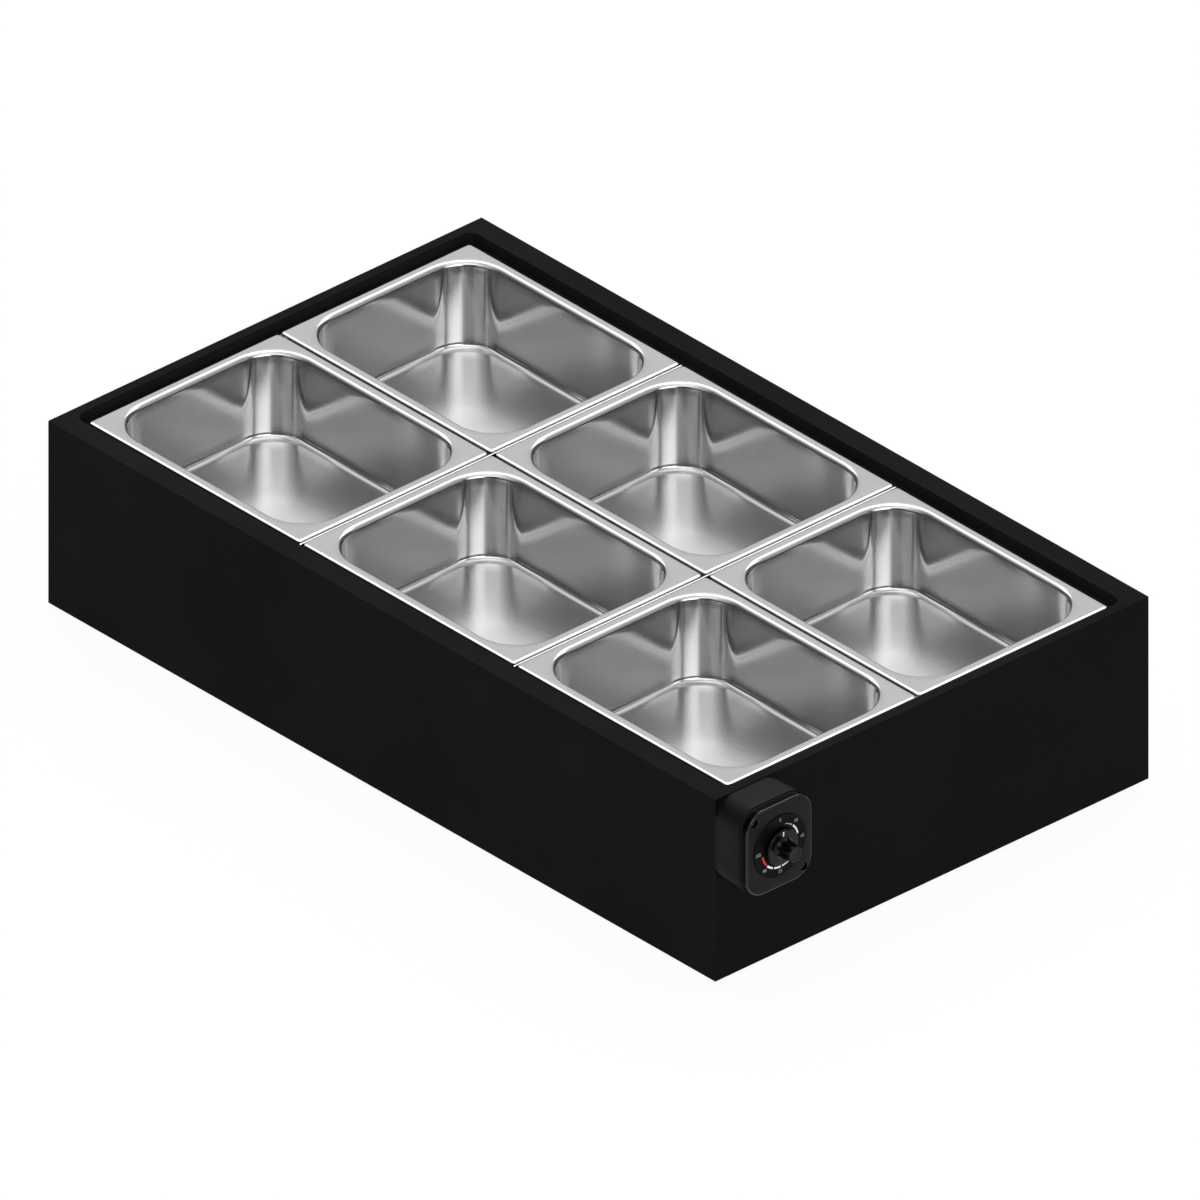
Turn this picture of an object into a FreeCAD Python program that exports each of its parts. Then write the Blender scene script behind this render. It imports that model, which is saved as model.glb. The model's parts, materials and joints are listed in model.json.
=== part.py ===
import FreeCAD, Part
import math
import os

from FreeCAD import Placement, Rotation, Vector

# Electric buffet warmer: a black casing round a water bath, six half-size food pans, a heating element
# clamped under the bath and a thermostat box on the right end. Millimetres, +Z up. +X points to the
# end with the control box, and -Y to the long front. Everything is modelled about the middle of the
# casing and moved at the end, so that the origin is the middle of the whole footprint.

# Food pans: half-size gastronorm, 325 by 265
columns = ("left", "middle", "right")
rows = ("front", "rear")
pan_length = 325.0
pan_width = 265.0
pan_depth = 100.0
pan_sheet = 0.8
pan_flange = 14.0        # from the outside edge to the opening
pan_flange_corner = 5.0
pan_corner = 50.0        # corner radius of the opening
pan_draft = 3.0          # how far a wall leans in at the floor
pan_floor_round = 7.0
pan_shoulder = 5.0       # bend from flange to wall
pan_lip = 5.0            # turned-down edge that the pan stands on
pan_lip_round = 3.0
column_gap = 4.0
row_gap = 3.0

# Casing and top frame
end_gap = 8.5            # pans to recess wall, at the ends
side_gap = 10.0          # pans to recess wall, at the long sides
rim_end = 12.5
rim_side = 26.0
casing_height = 220.0
foot_drop = 5.0          # the casing's underside above the table
casing_sheet = 1.2
casing_flange = 15.0     # turned in along the bottom
casing_bend = 1.0
frame_sheet = 1.5
frame_skirt = 16.5
frame_ease = 0.9
recess_drop = 6.5        # rim to the top of the pans
recess_corner = 12.0
angle_leg = 20.0
angle_sheet = 1.2

# Water bath
well_sheet = 1.0
well_corner = 40.0
well_floor_round = 15.0
well_shoulder = 0.8
lip_seat = 8.5           # how far the pans' edges stand in from the bath's walls
well_flange_show = 1.0   # bath flange past the pans
ledge_gap = 1.5          # bath's wall to the edge of the ledge that carries it
gasket_thick = 1.0

# Bars between the pans
bar_width = 20.0
bar_height = 14.0
bar_sheet = 1.2
bar_round = 1.0
rib_width = 1.8
rib_height = 3.4
rib_reach = 1.5          # rib past the pans, over the bath's flange
rib_nose = 2.4
seat_length = 30.0
seat_leg = 14.0

# Base and feet
base_sheet = 1.2
foot_radius = 16.0
foot_inset = 50.0
foot_recess = 3.6
foot_round = 1.5
base_screw_spacing = 400.0
base_screw_end_spacing = 300.0

# Heating element and what is clamped under the bath
element_radius = 4.25
element_pitch = 85.0
element_inset = 83.0     # bath's wall to the outside of a turn
element_tail = 10.0
element_slack = 0.01     # keeps a short straight between the two arcs of a turn
bead_radius = 3.4
bead_length = 6.0
pin_radius = 2.0
pin_length = 10.0
clamp_width = 20.0
clamp_sheet = 1.5
clamp_inset = 100.0      # from the outside of the turns
clamp_overhang = 22.0
reflector_sheet = 0.8
reflector_lip = 5.0
reflector_gap = 8.0      # reflector to the ends of the clamp studs
slab_thick = 20.0        # insulation on the base
slab_margin = 20.0
slab_corner = 20.0
side_blanket = 25.0
end_blanket = 16.0
blanket_rise = 2.0       # above the bath's floor
blanket_gap = 7.5        # under the ledge
blanket_round = 6.0
lead_room = 38.0         # left free of insulation beside the control box
cutout_radius = 8.0
cutout_height = 11.0
cutout_inset = 55.0      # from the outside of the element's turns
cutout_plate_length = 12.0
cutout_plate_width = 34.0
cutout_plate_corner = 3.0
cutout_stud_side = 12.0
blade_side = 4.5
blade_width = 4.0
blade_rise = 1.5
bulb_radius = 3.0
bulb_nose = 1.0
bulb_length = 90.0
bulb_end_inset = 73.0    # from the bath's walls
bulb_side_inset = 63.0
clip_width = 12.0
clip_sheet = 1.0
clip_ear = 7.0
clip_inset = 18.0

# Control box, in its own frame: across is +Y, up is +Z, out is +X from the casing's end
box_width = 92.0
box_height = 102.0
box_depth = 37.0
box_corner = 24.0
box_wall = 3.0
box_drop = 1.0           # below the casing's top
seal_thick = 1.2
seal_inset = 1.5
cover_depth = 10.0
cover_round = 2.0
cover_screw_inset = 11.5
head_sink = 0.4          # screw heads below the cover's face
boss_radius = 5.0
post_radius = 6.0
nut_room = 5.0           # from a box screw to the frame's skirt and the corner angle
grommet_across = 12.0
grommet_gap = 1.0        # above the box's floor
grommet_radius = 9.0
grommet_wall = 2.0
grommet_lip = 1.5
dial_radius = 36.5
dial_thick = 1.0
thermostat_width = 40.0
thermostat_height = 46.0
thermostat_depth = 28.0
thermostat_corner = 3.0
thermostat_screw = 14.0
thermostat_tapping = 8.0
thermostat_screw_depth = 6.0
sink_depth = 2.0
tab_length = 8.0
tab_width = 6.3
tab_thick = 0.8
tab_up = 4.0
tab_out = 24.0
shaft_radius = 3.0
shaft_seat = 6.0
shaft_flat = 2.2
shaft_way = 1.0          # radial, round the shaft in the cover and the dial
knob_gap = 0.6
knob_skirt_radius = 20.5
knob_skirt = 4.5
knob_edge = 1.5
knob_height = 23.0
knob_grip_base = 10.8
knob_grip_end = 9.4
knob_root = 2.5          # fillet between skirt and grip
knob_nose = 1.2
knob_top = 2.5           # wall over the end of the shaft
flute_count = 8
flute_radius = 6.0
flute_depth = 0.9
index_length = 6.0
index_width = 1.6
index_depth = 0.5

# Supply side
block_length = 40.0
block_width = 22.0
block_height = 16.0
block_corner = 2.0
block_screw_inset = 6.0
block_inset_x = 55.0
block_inset_y = 110.0
earth_inset_x = 31.0
earth_inset_y = 160.0
gland_inset = 76.0
gland_height = 25.0      # above the casing's underside
gland_bore = 5.0
gland_radius = 9.8
gland_across = 24.0
gland_collar = 6.0
gland_cap = 16.0
gland_cap_radius = 11.5
gland_cap_taper = 3.0
gland_inside = 10.0
gland_nut_across = 26.0
gland_nut_height = 5.0
lug_radius = 5.0
lug_sheet = 1.0
lug_strap_width = 4.0
lug_strap_start = 4.0
lug_reach = 12.0
lug_barrel_radius = 2.0
lug_barrel_rise = 2.0
lead_radius = 1.5
lead_bend = 8.0
lead_tight_bend = 6.0
capillary_radius = 0.9
capillary_bend = 5.0

# Screws and nuts
m3_thread = 3.0
m3_across = 5.5
m3_nut = 2.4
m4_thread = 4.0
m4_across = 7.0
m4_nut = 3.2
m4_head = 8.0
m4_head_height = 2.4
m5_thread = 5.0
m5_across = 8.0
m5_nut = 4.0
m5_head = 9.5
m5_head_height = 2.8
slot_width = 1.1         # cross recess in a head
slot_depth = 1.3
thread_past = 1.0        # thread that shows past a nut
hole_clearance = 0.3     # radial, round a screw
thread_clearance = 0.1   # radial, in a nut
fit_gap = 0.3
turning_gap = 0.05       # radial, a shaft in its bore

# Sizes that follow
grid_length = len(columns) * pan_length + (len(columns) - 1) * column_gap
grid_width = len(rows) * pan_width + (len(rows) - 1) * row_gap
recess_length = grid_length + 2 * end_gap
recess_width = grid_width + 2 * side_gap
half_length = recess_length / 2 + rim_end
half_width = recess_width / 2 + rim_side
inside_length = 2 * (half_length - casing_sheet)
inside_width = 2 * (half_width - casing_sheet)
opening_length = pan_length - 2 * pan_flange
opening_width = pan_width - 2 * pan_flange
well_length = grid_length - 2 * lip_seat
well_width = grid_width - 2 * lip_seat
well_flange_length = grid_length + 2 * well_flange_show
well_flange_width = grid_width + 2 * well_flange_show
ledge_length = well_length + 2 * (well_sheet + ledge_gap)
ledge_width = well_width + 2 * (well_sheet + ledge_gap)
ledge_corner = well_corner + well_sheet + ledge_gap

casing_top = foot_drop + casing_height
pan_top = casing_top - recess_drop
rest_z = pan_top - pan_lip
ledge_z = rest_z - well_sheet - gasket_thick
bar_under = rest_z - bar_height
base_under = foot_drop + casing_sheet
base_top = base_under + base_sheet
slab_top = base_top + slab_thick
reflector_top = slab_top + reflector_sheet
clamp_stud_low = reflector_top + reflector_gap
clamp_under = clamp_stud_low + thread_past + m5_nut
clamp_top = clamp_under + clamp_sheet
element_z = clamp_top + fit_gap + element_radius
well_under = element_z + element_radius + fit_gap
well_floor = well_under + well_sheet

element_reach = well_length / 2 - element_inset
clamp_reach = element_reach - clamp_inset
cutout_x = element_reach - cutout_inset
bulb_right = well_length / 2 - bulb_end_inset
bulb_side = well_width / 2 - bulb_side_inset
slab_length = 2 * (element_reach + slab_margin)
slab_width = 2 * (bulb_side + slab_margin)
blanket_low = well_floor + blanket_rise
blanket_high = ledge_z - frame_sheet - blanket_gap

box_y = box_width / 2 - half_width
box_z = casing_top - box_drop - box_height / 2
box_screw_across = box_width / 2 - casing_sheet - angle_leg - nut_room
box_screw_up = casing_top - frame_skirt - nut_room - box_z
cover_screw_across = box_width / 2 - cover_screw_inset
cover_screw_up = box_height / 2 - cover_screw_inset
grommet_up = grommet_gap + grommet_radius + grommet_wall + box_wall - box_height / 2
cover_low = box_depth + seal_thick
cover_face = cover_low + cover_depth
dial_face = cover_face + dial_thick
knob_low = dial_face + knob_gap
knob_face = knob_low + knob_height
gland_z = foot_drop + gland_height
gland_end = half_width + gland_collar + gland_cap

up = Vector(0, 0, 1)
nodes = {}


# Outline of a rectangle with round corners, as a closed wire at height z
def outline(length, width, radius, z, centre=(0, 0)):
    inner_x = length / 2 - radius
    inner_y = width / 2 - radius
    sides = ((1, 1, 0), (-1, 1, 90), (-1, -1, 180), (1, -1, 270))
    middles = [Vector(centre[0] + x * inner_x, centre[1] + y * inner_y, z) for x, y, _ in sides]
    if radius == 0:
        return Part.makePolygon(middles + middles[:1])
    arcs = [Part.makeCircle(radius, middle, up, angle, angle + 90)
            for middle, (_, _, angle) in zip(middles, sides)]
    edges = []
    for arc, following in zip(arcs, arcs[1:] + arcs[:1]):
        start = arc.valueAt(arc.LastParameter)
        end = following.valueAt(following.FirstParameter)
        edges += [arc, Part.makeLine(start, end)]
    return Part.Wire(edges)


# Upright block on such an outline
def block(length, width, radius, low, high, centre=(0, 0)):
    return Part.Face(outline(length, width, radius, low, centre)).extrude(Vector(0, 0, high - low))


# Upright ring between two such outlines, each given as length, width and corner radius
def ring(outer, inner, low, high):
    return block(*outer, low, high).cut(block(*inner, low, high))


# Plain box between two heights
def slab(x_range, y_range, z_range):
    size = [high - low for low, high in (x_range, y_range, z_range)]
    return Part.makeBox(*size, Vector(x_range[0], y_range[0], z_range[0]))


# Round bar from one point to another
def rod(radius, start, end):
    return Part.makeCylinder(radius, (end - start).Length, start, end - start)


# Stands a shape that was made upwards from the origin on a point, along a direction
def placed(shape, point, direction):
    shape.Placement = Placement(point, Rotation(up, direction))
    return shape


# Joins solids that touch into one
def joined(*shapes):
    return shapes[0].multiFuse(list(shapes[1:])).removeSplitter()


# Cuts several solids out of a shape
def without(shape, cutters):
    return shape.cut(list(cutters))


# Rounds the edges that pass a test
def eased(shape, radius, chosen):
    return shape.makeFillet(radius, [edge for edge in shape.Edges if chosen(edge)])


# Tests for edges: level at a height, and level there within a rectangle about a centre
def level_at(z):
    return lambda edge: abs(edge.BoundBox.ZMin - z) < 0.001 and abs(edge.BoundBox.ZMax - z) < 0.001


def level_within(z, length, width, centre=(0, 0)):
    def chosen(edge):
        bounds = edge.BoundBox
        reach_x = max(abs(bounds.XMin - centre[0]), abs(bounds.XMax - centre[0]))
        reach_y = max(abs(bounds.YMin - centre[1]), abs(bounds.YMax - centre[1]))
        return level_at(z)(edge) and reach_x < length / 2 + 0.1 and reach_y < width / 2 + 0.1
    return chosen


# Path of straight runs joined by tangent arcs of one radius
def bent_path(points, bend):
    edges = []
    start = points[0]
    for before, corner, after in zip(points, points[1:], points[2:]):
        inward = (before - corner).normalize()
        outward = (after - corner).normalize()
        half_turn = (math.pi - inward.getAngle(outward)) / 2
        first = corner + inward * (bend * math.tan(half_turn))
        last = corner + outward * (bend * math.tan(half_turn))
        middle = corner + (inward + outward).normalize() * (bend / math.cos(half_turn) - bend)
        if start.distanceToPoint(first) > 0.001:
            edges.append(Part.makeLine(start, first))
        edges.append(Part.Arc(first, middle, last).toShape())
        start = last
    edges.append(Part.makeLine(start, points[-1]))
    return Part.Wire(edges)


# Round bar or wire along such a path
def tube(points, radius, bend):
    profile = Part.Wire(Part.makeCircle(radius, points[0], points[1] - points[0]))
    return bent_path(points, bend).makePipeShell([profile], True, False)


# Six-sided bar upwards from the origin
def hex_bar(across, height):
    corner = across / math.sqrt(3)
    angles = [math.radians(60 * step) for step in range(7)]
    points = [Vector(corner * math.cos(angle), corner * math.sin(angle), 0) for angle in angles]
    return Part.Face(Part.makePolygon(points)).extrude(Vector(0, 0, height))


# Hexagon nut that stands on a seat and reaches along a direction
def nut(thread, across, height, seat, direction):
    bore = rod(thread / 2 + thread_clearance, Vector(0, 0, 0), Vector(0, 0, height))
    return placed(hex_bar(across, height).cut(bore), seat, direction)


# Pan-head screw with a cross recess: the head stands on a seat, the shank goes the other way
def screw(thread, head, head_height, length, seat, outward):
    cap = Part.makeCylinder(head / 2, head_height)
    cap = eased(cap, head_height / 2, level_at(head_height))
    shank = Part.makeCylinder(thread / 2, length, Vector(0, 0, -length))
    long_way = (-head / 4, head / 4)
    short_way = (-slot_width / 2, slot_width / 2)
    levels = (head_height - slot_depth, head_height)
    recess = [slab(long_way, short_way, levels), slab(short_way, long_way, levels)]
    return placed(without(joined(cap, shank), recess), seat, outward)


# Cylinder for a screw hole, through a sheet between two heights
def hole(thread, place, low, high):
    return rod(thread / 2 + hole_clearance, Vector(place[0], place[1], low), Vector(place[0], place[1], high))


# From the control box's own frame to the casing's
def on_end(shape):
    shape = shape.copy()
    turned = Placement(Vector(half_length, box_y, box_z), Rotation(Vector(1, 1, 1), 120))
    shape.Placement = turned.multiply(shape.Placement)
    return shape


def end_point(across, upward, out):
    return Vector(half_length + out, box_y + across, box_z + upward)


def pan_centre(column, row):
    x = (pan_length - grid_length) / 2 + columns.index(column) * (pan_length + column_gap)
    y = (pan_width - grid_width) / 2 + rows.index(row) * (pan_width + row_gap)
    return (x, y)


# One food pan: flat flange with a turned-down edge, round shoulder, leaning walls, round floor edge
def food_pan(centre):
    floor = pan_top - pan_depth

    def leaning(low, high, grow):
        wires = []
        for z in (low, high):
            lean = pan_draft * (pan_top - z) / pan_depth - grow
            length = opening_length - 2 * lean
            width = opening_width - 2 * lean
            wires.append(outline(length, width, pan_corner - lean, z, centre))
        return Part.makeLoft(wires, True, True)

    flange = block(pan_length, pan_width, pan_flange_corner, rest_z, pan_top, centre)
    flange = eased(flange, pan_lip_round, level_at(pan_top))
    under = pan_top - pan_sheet
    trim = 2 * pan_sheet
    hollow = block(pan_length - trim, pan_width - trim, pan_flange_corner - pan_sheet, rest_z, under, centre)
    hollow = eased(hollow, pan_lip_round - pan_sheet, level_at(under))
    outer = leaning(floor - pan_sheet, pan_top - pan_sheet / 2, pan_sheet)
    outer = eased(outer, pan_floor_round + pan_sheet, level_at(floor - pan_sheet))
    cavity = leaning(floor, pan_top, 0)
    cavity = eased(cavity, pan_floor_round, level_at(floor))
    shell = joined(flange.cut(hollow), outer)
    near_wall = level_within(under, opening_length + trim, opening_width + trim, centre)
    shell = eased(shell, pan_shoulder - pan_sheet, near_wall)
    shell = shell.cut(cavity)
    return eased(shell, pan_shoulder, level_within(pan_top, opening_length, opening_width, centre))


for row in rows:
    for column in columns:
        nodes["pan_" + row + "_" + column] = food_pan(pan_centre(column, row))


# Casing: four panels mitred at the upright corners, each with a flange turned in along the bottom
def mitred(length, reach, depth, low, high):
    corners = ((-length / 2, -reach), (length / 2, -reach), (length / 2 - depth, depth - reach),
               (depth - length / 2, depth - reach))
    points = [Vector(x, y, low) for x, y in corners]
    return Part.Face(Part.makePolygon(points + points[:1])).extrude(Vector(0, 0, high - low))


def casing_panel(length, reach, turn):
    wall = mitred(length, reach, casing_sheet, foot_drop, casing_top)
    flange = mitred(length, reach, casing_flange, foot_drop, foot_drop + casing_sheet)

    def bottom_edge(edge):
        return level_at(foot_drop)(edge) and abs(edge.BoundBox.YMax + reach) < 0.001

    panel = eased(joined(wall, flange), casing_bend, bottom_edge)
    panel.rotate(Vector(0, 0, 0), up, turn)
    return panel


base_screw_x = half_length - casing_flange / 2
base_screw_y = half_width - casing_flange / 2
base_screw_places = [(x * base_screw_spacing, y * base_screw_y) for x in (-1, 0, 1) for y in (-1, 1)]
base_screw_places += [(x * base_screw_x, y * base_screw_end_spacing / 2) for x in (-1, 1) for y in (-1, 1)]
base_screw_holes = [hole(m4_thread, place, foot_drop - 1, base_top + 1) for place in base_screw_places]

box_screw_places = ((-box_screw_across, box_screw_up), (box_screw_across, box_screw_up),
                    (-box_screw_across, -box_screw_up))
end_holes = [rod(m4_thread / 2 + hole_clearance, Vector(x, y, -casing_sheet - 1), Vector(x, y, box_wall + 1))
             for x, y in box_screw_places]
end_holes.append(rod(grommet_radius, Vector(grommet_across, grommet_up, -casing_sheet - 1),
                     Vector(grommet_across, grommet_up, box_wall + 1)))

gland_place = Vector(half_length - gland_inset, half_width, gland_z)
gland_hole = rod(gland_radius + hole_clearance, gland_place - Vector(0, casing_sheet + 1, 0),
                 gland_place + Vector(0, 1, 0))

nodes["casing_front"] = without(casing_panel(2 * half_length, half_width, 0), base_screw_holes)
nodes["casing_right_end"] = without(casing_panel(2 * half_width, half_length, 90),
                                    base_screw_holes + [on_end(cutter) for cutter in end_holes])
nodes["casing_rear"] = without(casing_panel(2 * half_length, half_width, 180),
                               base_screw_holes + [gland_hole])
nodes["casing_left_end"] = without(casing_panel(2 * half_width, half_length, 270), base_screw_holes)


# Angles welded into the casing's upright corners
def corner_angle(side_x, side_y):
    low = base_top + fit_gap
    high = casing_top - frame_skirt - fit_gap
    near_x = side_x * inside_length / 2
    near_y = side_y * inside_width / 2
    legs = []
    for depth_x, depth_y in ((angle_leg, angle_sheet), (angle_sheet, angle_leg)):
        x_range = sorted((near_x, near_x - side_x * depth_x))
        y_range = sorted((near_y, near_y - side_y * depth_y))
        legs.append(slab(x_range, y_range, (low, high)))
    return joined(*legs)


nodes["corner_angles"] = Part.makeCompound([corner_angle(x, y) for x in (-1, 1) for y in (-1, 1)])

# Top frame: rim between the panels, skirt down inside them, recess wall, and the ledge for the bath
stud_in = (well_flange_width + ledge_width) / 4
stud_end_in = (well_flange_length + ledge_length) / 4
stud_places = [(column * pan_length, side * stud_in) for column in (-1, 0, 1) for side in (-1, 1)]
stud_places += [(side * stud_end_in, 0) for side in (-1, 1)]
stud_holes = [hole(m4_thread, place, ledge_z - frame_sheet - 1, rest_z - well_sheet) for place in stud_places]

recess_outline = (recess_length, recess_width, recess_corner)
recess_outer = (recess_length + 2 * frame_sheet, recess_width + 2 * frame_sheet, recess_corner + frame_sheet)
ledge_outline = (ledge_length, ledge_width, ledge_corner)
inside_outline = (inside_length, inside_width, 0)
skirt_outline = (inside_length - 2 * frame_sheet, inside_width - 2 * frame_sheet, 0)
frame = joined(ring(inside_outline, recess_outline, casing_top - frame_sheet, casing_top),
               ring(inside_outline, skirt_outline, casing_top - frame_skirt, casing_top),
               ring(recess_outer, recess_outline, ledge_z - frame_sheet, casing_top),
               ring(recess_outer, ledge_outline, ledge_z - frame_sheet, ledge_z))
frame = eased(frame, frame_ease, level_within(casing_top, recess_length, recess_width))
nodes["top_frame"] = without(frame, stud_holes)

# Water bath, hung by its flange on the gasket and the ledge, with studs down through both
bath = block(well_length + 2 * well_sheet, well_width + 2 * well_sheet, well_corner + well_sheet,
             well_under, rest_z)
bath = eased(bath, well_floor_round + well_sheet, level_at(well_under))
bath_hollow = block(well_length, well_width, well_corner, well_floor, rest_z)
bath_hollow = eased(bath_hollow, well_floor_round, level_at(well_floor))
flange_outline = (well_flange_length, well_flange_width, recess_corner - fit_gap)
bath = joined(bath, block(*flange_outline, rest_z - well_sheet, rest_z)).cut(bath_hollow)
nodes["well_tank"] = eased(bath, well_shoulder, level_within(rest_z, well_length, well_width))
gasket = ring(flange_outline, ledge_outline, ledge_z, ledge_z + gasket_thick)
nodes["well_gasket"] = without(gasket, stud_holes)

ledge_under = ledge_z - frame_sheet
stud_low = ledge_under - m4_nut - thread_past
well_studs = [rod(m4_thread / 2, Vector(x, y, rest_z - well_sheet), Vector(x, y, stud_low))
              for x, y in stud_places]
well_nuts = [nut(m4_thread, m4_across, m4_nut, Vector(x, y, ledge_under), -up) for x, y in stud_places]


# Bars: inverted channels that carry the pans' edges. They cross with halving joints, and a rib stands
# up between the columns.
def channel(length):
    body = slab((-length / 2, length / 2), (-bar_width / 2, bar_width / 2), (bar_under, rest_z))
    body = eased(body, bar_round, lambda edge: level_at(rest_z)(edge) and edge.Length > bar_width + 1)
    inner = bar_width / 2 - bar_sheet
    return body.cut(slab((-length / 2, length / 2), (-inner, inner), (bar_under, rest_z - bar_sheet)))


cross_places = [(column + 1) * (pan_length + column_gap) - (grid_length + column_gap) / 2
                for column in range(len(columns) - 1)]
joint = bar_width / 2 + fit_gap
half_height = rest_z - bar_height / 2


def cross_bar(x):
    bar = channel(well_width - 2 * fit_gap)
    bar = bar.cut(slab((-joint, joint), (-bar_width, bar_width), (bar_under, half_height)))
    rib_half = grid_width / 2 + rib_reach
    rib_top = rest_z + rib_height
    rib = slab((-rib_half, rib_half), (-rib_width / 2, rib_width / 2), (rest_z, rib_top))
    rib = eased(rib, rib_nose, lambda edge: level_at(rib_top)(edge) and edge.Length < 2 * rib_width)
    bar = joined(bar, rib)
    bar.rotate(Vector(0, 0, 0), up, 90)
    bar.translate(Vector(x, 0, 0))
    return bar


for name, x in zip(columns, cross_places):
    nodes["cross_bar_" + name] = cross_bar(x)
joint_cuts = [slab((x - joint, x + joint), (-bar_width, bar_width), (half_height - fit_gap, rest_z))
              for x in cross_places]
nodes["long_bar"] = without(channel(well_length - 2 * fit_gap), joint_cuts)


# Angle on the bath's wall under the end of a bar: made at the +Y wall, then turned and moved
def bar_seat(reach, along, turn):
    half = seat_length / 2
    shelf = slab((-half, half), (reach - seat_leg, reach), (bar_under - bar_sheet, bar_under))
    back = slab((-half, half), (reach - bar_sheet, reach), (bar_under - seat_leg, bar_under))
    seat = joined(shelf, back)
    seat.rotate(Vector(0, 0, 0), up, turn)
    seat.translate(along)
    return seat


seats = [bar_seat(well_width / 2, Vector(x, 0, 0), turn) for x in cross_places for turn in (0, 180)]
seats += [bar_seat(well_length / 2, Vector(0, 0, 0), turn) for turn in (90, 270)]
nodes["bar_seats"] = Part.makeCompound(seats)

# Base plate on the casing's flanges, with feet under it
foot_x = half_length - foot_inset
foot_y = half_width - foot_inset
foot_places = [(x * foot_x, y * foot_y) for x in (-1, 0, 1) for y in (-1, 1)]
foot_holes = [hole(m5_thread, place, foot_recess, base_top + 1) for place in foot_places]
base = block(inside_length - 2 * fit_gap, inside_width - 2 * fit_gap, 0, base_under, base_top)
earth_place = (half_length - earth_inset_x, half_width - earth_inset_y)
block_place = (half_length - block_inset_x, half_width - block_inset_y)
block_screw_reach = block_length / 2 - block_screw_inset
block_screw_places = [(block_place[0], block_place[1] + side * block_screw_reach) for side in (-1, 1)]
base_holes = [hole(m5_thread, earth_place, base_under - 1, base_top + 1)]
base_holes += [hole(m3_thread, place, base_under - 1, base_top + 1) for place in block_screw_places]
nodes["base_plate"] = without(base, base_screw_holes + foot_holes + base_holes)
base_screw_length = base_top - foot_drop + m4_nut + thread_past
nodes["base_screws"] = Part.makeCompound(
    [screw(m4_thread, m4_head, m4_head_height, base_screw_length, Vector(x, y, foot_drop), -up)
     for x, y in base_screw_places])
base_nuts = [nut(m4_thread, m4_across, m4_nut, Vector(x, y, base_top), up) for x, y in base_screw_places]
base_nuts += [nut(m5_thread, m5_across, m5_nut, Vector(x, y, base_top), up) for x, y in foot_places]
nodes["base_nuts"] = Part.makeCompound(base_nuts)


def foot(place):
    pad = Part.makeCylinder(foot_radius, base_under, Vector(*place, 0))
    pad = eased(pad, foot_round, level_at(0))
    recess = Part.makeCylinder(m5_head / 2 + 2 * hole_clearance, foot_recess, Vector(*place, 0))
    return without(pad, [recess, hole(m5_thread, place, 0, base_under)])


nodes["feet"] = Part.makeCompound([foot(place) for place in foot_places])
foot_screw_length = base_top - foot_recess + m5_nut + thread_past
nodes["foot_screws"] = Part.makeCompound(
    [screw(m5_thread, m5_head, m5_head_height, foot_screw_length, Vector(x, y, foot_recess), -up)
     for x, y in foot_places])

# Heating element: one tube in four legs, held up to the bath's floor by three strips on weld studs
leg = element_pitch / 2
turns = ((-1, -3), (-1, -1), (1, -1), (1, 1), (-1, 1), (-1, 3))
tail = element_reach + element_tail
turn_reach = element_reach - element_radius
element_points = [Vector(tail, -3 * leg, element_z)]
element_points += [Vector(end * turn_reach, side * leg, element_z) for end, side in turns]
element_points += [Vector(tail, 3 * leg, element_z)]
nodes["heating_element"] = tube(element_points, element_radius, leg - element_slack)

pin_end = tail + bead_length + pin_length
terminals = []
for side in (-3, 3):
    start = Vector(tail, side * leg, element_z)
    bead = rod(bead_radius, start, start + Vector(bead_length, 0, 0))
    terminals.append(joined(bead, rod(pin_radius, start, Vector(pin_end, side * leg, element_z))))
nodes["element_terminals"] = Part.makeCompound(terminals)

clamp_half = 3 * leg + clamp_overhang
clamp_stud_places = [(x * clamp_reach, y * element_pitch) for x in (-1, 0, 1) for y in (-1, 0, 1)]
clamp_holes = [hole(m5_thread, place, clamp_under - 1, clamp_top + 1) for place in clamp_stud_places]
clamps = []
for x in (-clamp_reach, 0, clamp_reach):
    x_range = (x - clamp_width / 2, x + clamp_width / 2)
    strip = slab(x_range, (-clamp_half, clamp_half), (clamp_under, clamp_top))
    clamps.append(without(strip, clamp_holes))
nodes["element_clamps"] = Part.makeCompound(clamps)

cutout_stud_places = [(cutout_x, side * cutout_stud_side) for side in (-1, 1)]
cutout_plate_low = well_under - clamp_sheet
cutout_stud_low = cutout_plate_low - m3_nut - thread_past
clamp_studs = [rod(m5_thread / 2, Vector(x, y, well_under), Vector(x, y, clamp_stud_low))
               for x, y in clamp_stud_places]
cutout_studs = [rod(m3_thread / 2, Vector(x, y, well_under), Vector(x, y, cutout_stud_low))
                for x, y in cutout_stud_places]
clamp_nuts = [nut(m5_thread, m5_across, m5_nut, Vector(x, y, clamp_under), -up) for x, y in clamp_stud_places]
cutout_nuts = [nut(m3_thread, m3_across, m3_nut, Vector(x, y, cutout_plate_low), -up)
               for x, y in cutout_stud_places]
nodes["weld_studs"] = Part.makeCompound(well_studs + clamp_studs + cutout_studs)
nodes["stud_nuts"] = Part.makeCompound(well_nuts + clamp_nuts + cutout_nuts)

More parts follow.
